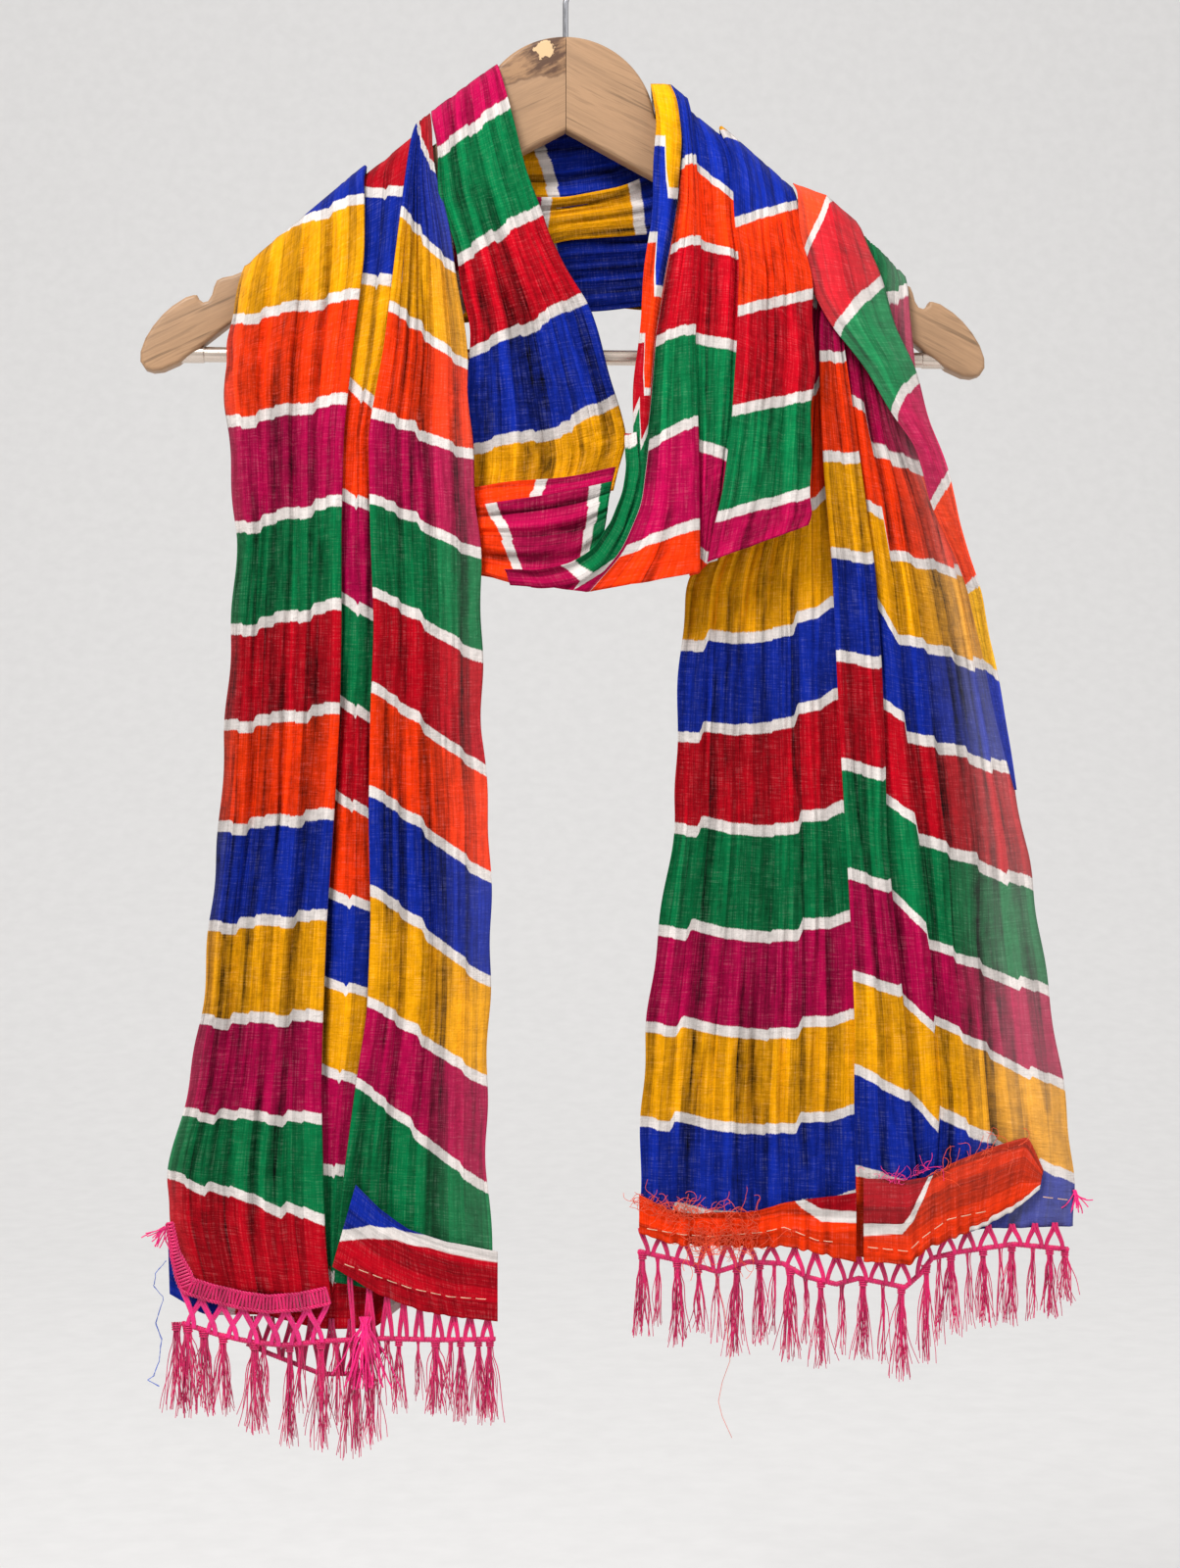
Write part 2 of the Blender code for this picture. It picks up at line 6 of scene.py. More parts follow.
import bmesh
import bpy
import numpy as np
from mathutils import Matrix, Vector


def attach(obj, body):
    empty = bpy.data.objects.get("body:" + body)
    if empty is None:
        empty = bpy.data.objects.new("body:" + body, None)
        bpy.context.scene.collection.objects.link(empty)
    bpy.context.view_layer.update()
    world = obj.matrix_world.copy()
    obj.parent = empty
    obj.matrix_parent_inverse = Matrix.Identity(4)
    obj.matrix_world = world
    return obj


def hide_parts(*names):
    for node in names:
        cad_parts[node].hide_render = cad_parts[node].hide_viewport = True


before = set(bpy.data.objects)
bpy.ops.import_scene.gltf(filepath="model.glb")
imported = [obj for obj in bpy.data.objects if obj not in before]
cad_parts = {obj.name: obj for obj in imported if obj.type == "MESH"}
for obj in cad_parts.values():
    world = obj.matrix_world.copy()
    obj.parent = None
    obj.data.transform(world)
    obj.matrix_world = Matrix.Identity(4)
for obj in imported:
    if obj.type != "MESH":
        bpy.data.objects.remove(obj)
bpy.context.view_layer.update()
mm = 0.001

dyes = {  # as the cloth looks in soft daylight, 0-255
    "magenta": (160, 0, 66), "red": (170, 2, 28), "orange": (226, 54, 8),
    "yellow": (220, 148, 0), "green": (0, 104, 60), "blue": (18, 40, 138),
    "white": (224, 215, 210), "trim": (206, 4, 92), "brightTrim": (236, 24, 120),
    # the trim's pink painted darker for the far cord, as painted shade
    "shadedTrim": (178, 6, 80), "stitch": (216, 170, 140), "fray": (226, 70, 24),
    "looseBlue": (70, 100, 190),
}


def linear(name, share=1.0):
    return tuple(min(1.0, (c / 255) ** 2.2 * share) for c in dyes[name]) + (1.0,)


class Paint:
    # one material; any input of a node takes either a number or another node's output

    def __init__(self, name, constants):
        self.material = bpy.data.materials.new(name)
        self.material.use_nodes = True
        self.tree = self.material.node_tree
        self.shader = self.tree.nodes["Principled BSDF"]
        self.relief = {}
        for key, value in constants.items():
            self.shader.inputs[key].default_value = value

    def feed(self, key, value, node=None):
        socket = (node or self.shader).inputs[key]
        if isinstance(value, bpy.types.NodeSocket):
            self.tree.links.new(value, socket)
        else:
            socket.default_value = value

    def node(self, kind, values=None, output=0):
        node = self.tree.nodes.new("ShaderNode" + kind)
        for key, value in (values or {}).items():
            if isinstance(key, str) and hasattr(node, key):
                setattr(node, key, value)
            else:
                self.feed(key, value, node)
        return node.outputs[output]

    def math(self, operation, *values):
        return self.node("Math", {"operation": operation, **dict(enumerate(values))})

    def add(self, first, *others):
        for value in others:
            first = self.math("ADD", first, value)
        return first

    def sway(self, value, amount):
        return self.math("MULTIPLY", self.math("SUBTRACT", value, 0.5), amount)

    def span(self, value, low, high, newLow, newHigh):
        return self.node("MapRange", {"Value": value, "From Min": low, "From Max": high,
                                      "To Min": newLow, "To Max": newHigh})

    def tone(self, *spans):
        return self.add(*(self.span(*entry) for entry in spans))

    def noise(self, spot, scale, size, detail=2.0, roughness=0.5):
        placed = self.node("Mapping", {"Vector": spot, "Scale": scale})
        return self.node("TexNoise", {"Vector": placed, "Scale": size, "Detail": detail,
                                      "Roughness": roughness})

    def shade(self, colour, tone):
        return self.node("HueSaturation", {"Color": colour, "Value": tone})

    def mix(self, share, under, over):
        return self.node("Mix", {"data_type": "RGBA", 0: share, 6: under, 7: over}, 2)

    def ramp(self, value, stops, blend="LINEAR"):
        node = self.tree.nodes.new("ShaderNodeValToRGB")
        node.color_ramp.interpolation = blend
        elements = node.color_ramp.elements
        while len(elements) < len(stops):
            elements.new(0.5)
        for index, (at, colour) in enumerate(stops):
            elements[index].position = at
            elements[index].color = colour
        self.feed(0, value, node)
        return node.outputs[0]

    def bump(self, height, strength, depth):
        # each bump lies on the one before it
        self.relief.update({"Height": height, "Strength": strength, "Distance": depth})
        self.relief = {"Normal": self.node("Bump", self.relief)}
        self.feed("Normal", self.relief["Normal"])


def plainFinish(name, constants, scale, size, detail, colour, tones, roughness=None):
    # one fine noise varies the tone, and the roughness if its range is given
    paint = Paint(name, constants)
    grain = paint.noise(paint.node("TexCoord", output="Object"), scale, size, detail)
    paint.feed("Base Color", paint.shade(colour, paint.span(grain, 0.3, 0.7, *tones)))
    if roughness:
        paint.feed("Roughness", paint.span(grain, 0.3, 0.7, *roughness))
    return paint.material


clothLook = {
    "lineHalf": 0.056,       # half a white line, as a share of one colour block
    "lineBlur": 0.006,
    "lineWobble": 0.032,
    "threadWobble": 0.026,
    "mottle": 0.13,          # how blotchy the dye is, either way
    "slub": 0.10,            # how much single threads differ, either way
    # painted shade in the creases and painted light on the crests, set by crease depth
    "creaseShadeAndLight": (-0.56, 0.24),
    "pleatShade": 0.192,        # painted shade: how much darker narrow strips are painted, like the shaded face of a pleat
    "pleatLight": 0.128,         # painted light: how much lighter the cloth is painted elsewhere
    "pressedLineShade": 0.17,       # painted shade: how dark the sharp pressed lines are painted
    "pale": (0.72, 0.69, 0.66, 1),
    "crinkle": (0.7, 0.0012),  # strength and depth of each relief
    "crumple": (0.55, 0.0030),
    "weave": (0.6, 0.00024),
    "surface": {"Roughness": 0.70, "Sheen Weight": 0.02, "Sheen Roughness": 0.45,
                "Specular IOR Level": 0.07, "IOR": 1.45},
}


def clothMaterial(name, order, share):
    look = clothLook
    paint = Paint(name, look["surface"])
    uv = paint.node("UVMap", {"uv_map": "cloth"})
    band, crease, sheer = (paint.node("Attribute", {"attribute_name": key}, "Fac")
                           for key in ("band", "crease", "sheer"))
    spot = paint.add(band, paint.sway(paint.noise(uv, (1, 0.35, 1), 120, 3), look["lineWobble"]),
                     paint.sway(paint.noise(uv, (1, 0.02, 1), 2100, 1), look["threadWobble"]))
    away = paint.math("ABSOLUTE", paint.math("SUBTRACT", spot, paint.math("ROUND", spot)))
    half, blur = look["lineHalf"], look["lineBlur"]
    line = paint.span(away, half - blur, half + blur, 1, 0)
    block = paint.math("DIVIDE", paint.add(paint.math("FLOOR", spot), 0.5), len(order))
    # each dye scaled by share: painted light where share is above 1
    dye = paint.ramp(block, [(index / len(order), linear(dye, share))
                             for index, dye in enumerate(order)], "CONSTANT")
    long = paint.noise(uv, (1, 0.045, 1), 1000, 3, 0.65)
    cross = paint.noise(uv, (0.06, 1, 1), 1300, 3, 0.65)
    # thin lines of painted shade along the pressed creases
    pressed = paint.math("SUBTRACT", paint.noise(uv, (1, 0.016, 1), 170, 0), 0.5)
    tone = paint.tone(
        (paint.noise(uv, (1, 0.55, 1), 210, 5, 0.65), 0.32, 0.68, 1 - look["mottle"],
         1 + look["mottle"]),
        (long, 0.3, 0.7, -look["slub"], look["slub"]),
        (cross, 0.3, 0.7, -look["slub"], look["slub"]),
        (paint.noise(uv, (1, 0.6, 1), 45), 0.35, 0.65, -0.07, 0.07),
        # painted shade darkens the creases, painted light brightens the crests
        (crease, -1, 1, *look["creaseShadeAndLight"]),
        # strips of painted shade and painted light, like the faces of pressed pleats
        (paint.noise(uv, (1, 0.022, 1), 95, 0), 0.5, 0.514, look["pleatLight"], -look["pleatShade"]),
        (paint.math("ABSOLUTE", pressed), 0.004, 0.034, -look["pressedLineShade"], 0.02))
    # paler threads where the dye took less, and paler cloth where light comes through one layer
    fleck = paint.span(paint.math("MULTIPLY", long, cross), 0.27, 0.45, 0, 0.07)
    dyed = paint.mix(paint.add(fleck, sheer), paint.shade(dye, tone), look["pale"])
    # the white lines take the same tone, with its painted shade and painted light
    white = paint.shade(linear("white"), paint.span(tone, 0.3, 1.4, 0.52, 1.10))
    paint.feed("Base Color", paint.mix(line, dyed, white))
    paint.bump(paint.noise(uv, (1, 0.05, 1), 330, 3, 0.6), *look["crinkle"])
    paint.bump(paint.noise(uv, (0.8, 1.3, 1), 105, 4, 0.62), *look["crumple"])
    paint.bump(paint.add(paint.noise(uv, (1, 0.05, 1), 2200, 1),
                         paint.noise(uv, (0.05, 1, 1), 2200, 1)), *look["weave"])
    return paint.material


def place(item, node=None):
    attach(item, "root")
    if node:
        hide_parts(node)
    return item


def addPiece(name, shape, finish, smooth=True):
    # shape is a mesh, or a bmesh that ends here
    if isinstance(shape, bmesh.types.BMesh):
        mesh = bpy.data.meshes.new(name)
        shape.to_mesh(mesh)
        shape.free()
    else:
        mesh = shape
    item = bpy.data.objects.new(name, mesh)
    bpy.context.scene.collection.objects.link(item)
    mesh.materials.clear()
    mesh.materials.append(finish)
    if smooth:
        mesh.polygons.foreach_set("use_smooth", [True] * len(mesh.polygons))
    return item


# The cloth: sections, folds and creases.
clothBase = {  # for every stretch that doesn't give its own value
    "layer": 2.2,             # from one layer of a turned fold to the next
    "turnShare": 0.03,        # how much of a strip the turned fold takes
    "spacing": 1.05, "rowStep": 3.4, "passes": 5, "wall": 0.45,
    "depths": 1,              # 2 where the outer and inner edge lie at different depths
    # share: how much brighter a stretch's dye is painted; above 1 it is painted light
    "flip": 1.0, "tucked": False, "turns": (), "share": 1.0, "ruffle": 0.0,
    "creases": (),            # across at the start and end, start and end along, depth, half width
    "creasePitch": 3.0, "creaseDepth": 1.0, "jumps": {}, "sheer": {}, "edgeLines": (),
    "tilt": ((0, 0), (1, 0)),
}


def ease(t):
    return t * t * (3 - 2 * t)


def onKnots(x, knots):
    return np.interp(x, *zip(*knots))


def runOf(curve, extra=0.0):
    # how far along a chain of points each of them lies
    return np.concatenate([[0], np.cumsum(np.linalg.norm(np.diff(curve, axis=0) + extra, axis=1))])


def unit(vectors):
    return vectors / np.maximum(np.linalg.norm(vectors, axis=-1, keepdims=True), 1e-9)


def crossSection(piece, widths):
    # each point's place across, shift along it, level of the layer, pleat phase, pleat height,
    # crease share, strip, share of the strip, and how far it may dip and rise
    layer, margin, turns = piece["layer"], piece["turnShare"], piece["turns"]
    points, level = [], 0.0
    for strip, (count, height) in enumerate(piece["pleats"]):
        before = turns[strip - 1] if strip else 0
        after = turns[strip] if strip < len(turns) else 0
        first, last = margin * bool(before), margin * bool(after)
        steps = max(4, round(widths[strip] / piece["spacing"]))
        coarse = max(2, round(count * 3))
        for i in range(steps + 1):
            if strip and i == 0 and not before:
                continue
            t = first + (1 - first - last) * i / steps
            uneven = 1 + 0.35 * math.sin(2.3 * coarse * t + 1.7 * strip)
            warped = t + 0.05 * math.sin(math.tau * (1.7 * t + 0.37 * strip)) / max(1, count / 2)
            share = min(1.0, 0.3 + 9 * min(t if before else 1, 1 - t if after else 1))
            low, high = -99.0, 99.0  # beside a fold the upper layer stays up and the lower one down
            for turn, near in ((before, t), (-after, 1 - t)):
                if turn and near * widths[strip] < abs(turn) + 2:
                    low, high = (-0.5, high) if turn < 0 else (low, 0.5)
            points.append((strip + t, 0.0, level, math.tau * count * warped, height * uneven,
                           share, strip, t, low, high))
        if not after:
            continue
        rise = -math.copysign(layer, after)
        outer, inner = (0.0, -after) if after > 0 else (-after, 0.0)
        turned = [math.pi * k / 6 for k in range(1, 6)]
        # round the first edge, back under, round the second edge
        lip = ([(outer + layer / 2 * math.sin(a), (1 - math.cos(a)) / 2) for a in turned]
               + [(outer + (inner - outer) * k / 2, 1) for k in range(3)])
        points += [(strip + 1, shift, level + rise * up, 0, 0, 0, strip, 1, 0, 0)
                   for shift, up in lip]
        points += [(strip + 1, inner - layer / 2 * math.sin(a),
                    level + rise * (3 - math.cos(a)) / 2, 0, 0, 0, strip + 1, 0, 0, 0)
                   for a in turned]
        level += 2 * rise
    return np.array(points)


def denseRows(piece):
    # rows of fold-line points at an even step, rounded where the cloth bends
    table = np.array(piece["rows"], float)
    count = (table.shape[1] - 1 - piece["depths"]) // 2
    depth = table[:, 2 * count:-1]
    ys = depth[:, :1] + (depth[:, -1:] - depth[:, :1]) * np.linspace(0, 1, count)
    points = np.stack([table[:, 0:2 * count:2], ys, table[:, 1:2 * count:2]], axis=2)
    along = runOf(points.mean(axis=1))
    spots = np.linspace(0, along[-1], max(6, int(round(along[-1] / piece["rowStep"])) + 1))
    dense = np.array([[np.interp(spots, along, points[:, i, k]) for k in range(3)]
                      for i in range(count)]).transpose(2, 0, 1)
    pleated = np.interp(spots, along, table[:, -1])
    for field in (dense, pleated) * piece["passes"]:
        field[1:-1] = (field[:-2] + 2 * field[1:-1] + field[2:]) / 4
    return dense, pleated, spots


def creaseField(across, along, piece):
    # listed creases first, then smaller uneven ones between them
    field = np.zeros((len(along), len(across)))
    width, length = across[-1], along[-1]
    rolls = random.Random(piece["seed"])
    creases = [(a * width, b * width, c * length, d * length, depth, 0.9, size * 2.6)
               for a, b, c, d, depth, size in piece["creases"]]
    for _ in range(int(width / piece["creasePitch"] * max(1.0, length / 160))):
        middle = rolls.uniform(0, width)
        start = rolls.uniform(-0.25, 0.85) * length
        reach = rolls.uniform(50, 230)
        depth = rolls.choice((-1, -1, -1, 0.9)) * rolls.uniform(0.4, 1.6) * piece["creaseDepth"]
        steep, gentle = rolls.uniform(0.6, 1.1), rolls.uniform(0.8, 3.6)
        if rolls.random() < 0.35:
            steep, gentle = gentle, steep
        creases.append((middle, middle + rolls.uniform(-8, 8), start, start + reach, depth, steep,
                        gentle))
    for a, b, c, d, depth, leftSize, rightSize in creases:
        t = np.clip((along - c) / max(d - c, 1), 0, 1)
        swing = 1.3 * np.sin(along / 37 + a) + 0.7 * np.sin(along / 13 + 2 * a)
        line = a + (b - a) * t + swing
        fade = ease(np.clip((along - c) / 22, 0, 1) * np.clip((d - along) / 22, 0, 1))
        away = across[None, :] - line[:, None]
        away = np.where(away < 0, -away / leftSize, away / rightSize)
        field += depth * fade[:, None] * np.exp(-away ** 1.25)
    return field


blockDrop, blockEnd = 53, 26  # one colour block, and half a one, where no white line is given


def bandField(section, coordinate, piece):
    # which colour block each point lies in, counted along its own strip; the lines step a
    # little at every pleat, as they do on cloth that was dyed flat and crinkled afterwards
    rolls, strips = random.Random(piece["seed"] + 5), piece["lines"]
    band = np.empty_like(coordinate)
    steps = {}
    for column, point in enumerate(section):
        strip, t = int(point[6]), point[7]
        first, lefts, rights = strips[min(strip, len(strips) - 1)]
        key = (strip, int(point[3] / math.tau + 0.5))
        if key not in steps:
            steps[key] = rolls.uniform(-0.9, 0.9)
        step = steps[key] + onKnots(t, piece["jumps"].get(strip, ((0, 0), (1, 0))))
        places = [a + (b - a) * t + step for a, b in zip(lefts, rights)]
        missing = [places[0] - blockDrop * k for k in range(first - 1, 0, -1)]
        top = missing[0] if missing else places[0]
        bottom = places[-1]
        numbers = [0.5, 0.5, *range(1, first + len(lefts)), *[first + len(lefts) - 0.5] * 2]
        places = [top - 999, top - blockEnd, *missing, *places, bottom + blockEnd, bottom + 999]
        band[:, column] = np.interp(coordinate[:, column], places, numbers)
    return band


def shapeCloth(piece):
    dense, pleated, along = denseRows(piece)
    widths = np.linalg.norm(np.diff(dense[len(dense) // 2], axis=0), axis=1)
    section = crossSection(piece, widths * 1.06)
    left = np.minimum(section[:, 0].astype(int), dense.shape[1] - 2)
    part = (section[:, 0] - left)[None, :, None]
    grid = dense[:, left] * (1 - part) + dense[:, left + 1] * part
    across = unit(dense[:, -1] - dense[:, 0])
    down = unit(np.gradient(dense.mean(axis=1), axis=0))
    out = unit(np.cross(across, down)) * -piece["flip"]
    seed = piece["seed"]
    drift = 0.65 * np.sin(along / 71 + seed) + 0.3 * np.sin(along / 27 + 1.3 * seed)
    phase = section[None, :, 3] + drift[:, None] * (section[None, :, 3] > 0)
    saw = sum(share * np.sin(k * phase) for k, share in ((1, 1), (2, 0.45), (3, 0.28), (4, 0.14)))
    wave = -0.62 * section[None, :, 4] * saw * pleated[:, None]
    folded = (np.ones_like(pleated) if piece["tucked"] else pleated)[:, None]
    flat = runOf(grid[len(grid) // 2], 0.35)
    strength = np.clip(0.35 + 0.65 * pleated, 0, 1)[:, None] * section[None, :, 5]
    # gathers that cross a hem, stronger towards its free edge
    ripple = (np.sin(along / 1.25 + 2.0 * np.sin(along / 11))
              + 0.6 * np.sin(along / 0.9 + 1.3 * np.sin(along / 7)))
    low = (flat / flat[-1])[None, :]
    ruffle = piece["ruffle"] * (ripple * pleated)[:, None] * (0.4 + 0.6 * low)
    creases = creaseField(flat, along, piece) * strength + ruffle
    height = section[None, :, 2] * folded + np.clip(wave + creases, section[:, 8], section[:, 9])
    edge = np.exp(-np.minimum(flat, flat[-1] - flat) / 5)
    sway = 0.7 * np.sin(along / 9 + seed) + 0.8 * np.sin(along / 29 + 2 * seed)
    shift = section[None, :, 1] * folded + (sway * pleated)[:, None] * edge + 0.5 * ruffle * low
    points = grid + across[:, None] * shift[:, :, None] + out[:, None] * height[:, :, None]
    return {"points": points, "section": section, "along": along, "flat": flat, "creases": creases}


def joinEnd(shape, curve, start, reach=26):
    # bends one end of a stretch onto the edge of the stretch it goes on into
    points, along = shape["points"], shape["along"]
    row = points[0 if start else -1]
    here, there = (runOf(chain) / runOf(chain)[-1] for chain in (row, curve))
    target = np.stack([np.interp(here, there, curve[:, k]) for k in range(3)], axis=1)
    weight = ease(np.clip(1 - (along if start else along[-1] - along) / reach, 0, 1))
    points += (target - row)[None] * weight[:, None, None]


def meshCloth(name, shape, piece):
    points, section, along = shape["points"], shape["section"], shape["along"]
    rows, columns = points.shape[:2]
    down = along / along[-1]
    reach = np.linalg.norm(np.diff(points, axis=1, prepend=points[:, :1]), axis=2).cumsum(axis=1)
    coordinate = {"down": -points[:, :, 2], "right": points[:, :, 0],
                  "across": reach - onKnots(down, piece["tilt"])[:, None],
                  "along": np.repeat(along[:, None], columns, axis=1)}[piece["runs"]]
    band = bandField(section, coordinate, piece)
    for start, stop, width, number in piece["edgeLines"]:
        inside = ((down >= start) & (down <= stop))[:, None]
        band[inside & (reach[:, -1:] - reach < width)] = number
    sheer = np.zeros(columns)
    for strip, knots in piece["sheer"].items():
        inside = section[:, 6] == strip
        sheer[inside] = onKnots(section[inside, 7], knots)
    bm = bmesh.new()
    bmesh.ops.create_grid(bm, x_segments=columns - 1, y_segments=rows - 1, size=1.0)
    bandLayer, creaseLayer, sheerLayer = (bm.verts.layers.float.new(key)
                                          for key in ("band", "crease", "sheer"))
    uvLayer = bm.loops.layers.uv.new("cloth")
    spots = {}
    for vert in bm.verts:
        column = round((vert.co.x + 1) / 2 * (columns - 1))
        row = round((1 - vert.co.y) / 2 * (rows - 1))
        spots[vert] = (shape["flat"][column] * mm, -along[row] * mm)
        vert.co = Vector(points[row, column]) * mm
        vert[bandLayer] = band[row, column]
        vert[sheerLayer] = sheer[column]
        # the crease depth, which the cloth material turns into painted shade and painted light
        vert[creaseLayer] = max(-1.0, min(1.0, shape["creases"][row, column] / 2))
    for face in bm.faces:
        for loop in face.loops:
            loop[uvLayer].uv = spots[loop.vert]
    if piece["flip"] < 0:
        bmesh.ops.reverse_faces(bm, faces=bm.faces)
    item = addPiece(name, bm, clothMaterial(name, piece["order"].split(), piece["share"]))
    wall = item.modifiers.new("wall", "SOLIDIFY")
    wall.thickness = piece["wall"] * mm
    wall.offset = 0.0
    return item


# The stole's stretches.
# rows: x and z of each fold line, then y, then how far the cloth is pleated.
# pleats: how many in each strip, and their height. turns: how far each fold laps over.
# lines: each strip's first white line's number, then the lines' places at its left and right.
tailLeft = {
    "node": "tail_left", "seed": 3, "tucked": True, "runs": "down",
    "pleats": ((4, 1.7), (1, 0.8), (4, 1.6)), "turns": (4, -4),
    "rows": [
        # left edge, first fold, second fold, right edge, y, pleated
        (-168, -188, -106, -135, -78, -112, -71, -107, 0, 0),
        (-169, -193.4, -107, -141, -80, -119, -70, -115, -9.5, 0.2),
        (-172, -208, -106, -156, -83, -142, -69, -141, -14, 0.6),
        (-175, -227, -106, -186, -87, -177, -60, -178, -19, 1),
        (-176, -250, -112, -237, -93, -232, -51, -242, -26, 1),
        (-173, -279, -116, -278, -101, -278, -49, -278, -32, 1),
        (-169, -331, -117, -327, -100, -327, -46, -330, -38, 1),
        (-172, -379, -117, -379, -98, -379, -45, -379, -37, 1),
        (-174, -424, -118, -424, -100, -424, -44, -424, -34, 1),
        (-177, -474, -121, -474, -101, -474, -40, -474, -30, 1),
        (-184, -529, -125, -529, -100, -529, -40, -530, -27, 1),
        (-188, -577, -127, -577, -102, -577, -41, -577, -25, 1),
        (-194, -615, -128, -615, -108, -615, -41, -616, -24, 1),
        (-205, -660, -127, -661, -114, -661, -41, -661, -23, 1),
        (-205, -684, -126, -692, -117, -691, -39, -700, -22, 0.9),
        (-196, -718, -123, -726, -119, -716, -37, -731, -21.6, 0.4),
    ],
    "order": "red blue yellow orange magenta green red orange blue yellow magenta green red",
    "lines": [  # first line's number, then every white line's drop at the strip's left and right
        (2, (175, 219, 274, 329, 381, 429, 481, 532, 580, 628, 659),
            (156, 207, 262, 315, 368, 421, 475, 527, 579, 632, 684)),
        (1, (151, 197, 252, 311, 363, 416, 464, 515, 561, 606, 658, 713),
            (150, 197, 264, 316, 373, 425, 474, 522, 566, 611, 658, 714)),
        (2, (163, 213, 270, 314, 362, 410, 463, 514, 572, 613),
            (192, 243, 290, 341, 394, 452, 507, 561, 612, 668)),
    ],
    "jumps": {0: ((0, 0), (0.24, 2), (0.26, -1.5), (0.74, 1.5), (0.76, -2), (1, 0)),
              1: ((0, 0), (0.5, 1.5), (0.54, -1), (1, 0)),
              2: ((0, 0), (0.22, -2.5), (0.24, -0.5), (0.43, -3), (0.46, 1), (0.8, 0), (0.82, 2),
                  (1, 0))},
    "sheer": {0: ((0, 0.03), (0.12, 0)), 2: ((0.5, 0), (0.8, 0.02), (1, 0.03))},
    "creases": [  # across at the start and end, start and end along, depth, half width
        (0.08, 0.10, 0.30, 0.80, -1.6, 2.2), (0.15, 0.14, 0.15, 1, -1.3, 1.6),
        (0.22, 0.25, 0.10, 0.62, -1.8, 2.4), (0.30, 0.29, 0.42, 1, -1.4, 2),
        (0.06, 0.02, 0.66, 0.92, -1.9, 2.4), (0.12, 0.20, 0.78, 1, 1.4, 3),
        (0.60, 0.64, 0.20, 0.70, -1.6, 2), (0.70, 0.68, 0.30, 1, -1.7, 2.2),
        (0.78, 0.80, 0.12, 0.86, -1.8, 1.8), (0.86, 0.84, 0.50, 1, -1.5, 2),
        (0.93, 0.92, 0.20, 0.75, -1.2, 1.6),
    ],
}
tailRight = {
    "node": "tail_right", "seed": 8, "runs": "down",
    "jumps": {0: ((0, 0), (0.14, 3), (0.16, -2.5), (0.35, 4), (0.6, 8), (0.72, 9), (0.74, 3),
                  (0.88, 4), (1, 0)),
              3: ((0, 0), (0.5, -1), (0.53, 2), (1, 0)),
              4: ((0, 0), (0.55, 2), (0.58, -1), (1, 0))},
    "sheer": {3: ((0.4, 0), (1, 0.03)), 4: ((0, 0.03), (0.3, 0.08), (1, 0.09))},
    "pleats": ((6, 1.7), (1, 0.9), (1, 0.9), (2, 1.1), (2, 0.9)), "turns": (-3, 3, 0, 0),
    "rows": [
        # left edge, main fold, second fold, third fold, fourth fold, right edge, y, pleated
        (129, -146, 141, -152, 150, -161, 158, -169, 168, -178, 180, -190.3, 0, 0),
        (128, -155, 141, -161, 150, -170, 159, -178, 169, -186, 180, -197.2, -9.5, 0.2),
        (128, -182, 138, -186, 147, -191, 156, -198, 166, -207, 181, -215, -14, 0.6),
        (122, -214, 132, -219, 142, -224, 151, -229, 163, -239, 183, -250, -19, 1),
        (112, -256, 132, -260, 147, -265, 156, -270, 172, -278, 192, -288, -23, 1),
        (89, -302, 134, -301, 152, -304, 162, -306, 184, -316, 202, -321, -26, 1),
        (63, -354, 138, -348, 158, -350, 169, -357, 195, -362, 213, -365, -28, 1),
        (59, -389, 140, -394, 161, -394, 173, -398, 201, -403, 221, -403, -28, 1),
        (56, -434, 142, -436, 163, -439, 176, -441, 207, -441, 229, -444, -28, 1),
        (55, -478, 145, -484, 164, -487, 182, -487, 213, -492, 238, -490, -27, 1),
        (48, -534, 148, -534, 169, -536, 187, -536, 214, -541, 247, -537, -26, 1),
        (42, -581, 150, -581, 174, -582, 191, -582, 218, -587, 255, -587, -25, 1),
        (38, -626, 150, -628, 177, -630, 194, -628, 222, -630, 261, -633, -24, 1),
        (37, -662, 151, -665, 181, -667, 192, -664, 225, -661, 264, -664, -23, 1),
        (38, -688, 151, -704, 176, -708, 186, -697, 217, -691, 265, -690, -23, 1),
    ],
    "order": "red green magenta orange yellow blue red green magenta yellow blue orange",
    "lines": [
        (1, (150, 200, 268, 330, 388, 435, 482, 535, 585, 634, 682),
            (150, 200, 247, 307, 364, 411, 470, 527, 578, 628, 672)),
        (1, (140, 188, 237, 290, 340, 393, 449, 506, 559, 607, 660),
            (140, 188, 237, 290, 342, 396, 454, 512, 566, 621, 668)),
        (1, (150, 205, 259, 314, 361, 417, 466, 515, 570, 620, 672),
            (152, 208, 263, 318, 384, 424, 477, 534, 586, 638, 690)),
        (1, (168, 205, 286, 341, 384, 435, 488, 543, 582, 630, 700),
            (168, 202, 292, 345, 390, 442, 498, 553, 596, 644, 706)),
        (1, (168, 202, 292, 345, 392, 444, 500, 555, 598, 646, 706),
            (166, 198, 298, 350, 399, 452, 512, 568, 617, 666, 716)),
    ],
    "creases": [
        (0.10, 0.08, 0.45, 1, -1.5, 2.2), (0.17, 0.20, 0.40, 0.9, -1.7, 2.2),
        (0.26, 0.24, 0.48, 1, -1.2, 1.8), (0.33, 0.36, 0.35, 0.95, -1.8, 2.4),
        (0.42, 0.40, 0.45, 1, -1.5, 2), (0.48, 0.47, 0.20, 0.8, -1.3, 1.6),
        (0.60, 0.60, 0.10, 0.7, -1.2, 1.6), (0.70, 0.72, 0.15, 1, -1.5, 2),
        (0.79, 0.77, 0.25, 0.9, -1.6, 2.2), (0.86, 0.88, 0.2, 1, -1.4, 2),
        (0.94, 0.93, 0.4, 0.9, 1, 2),
    ],
}
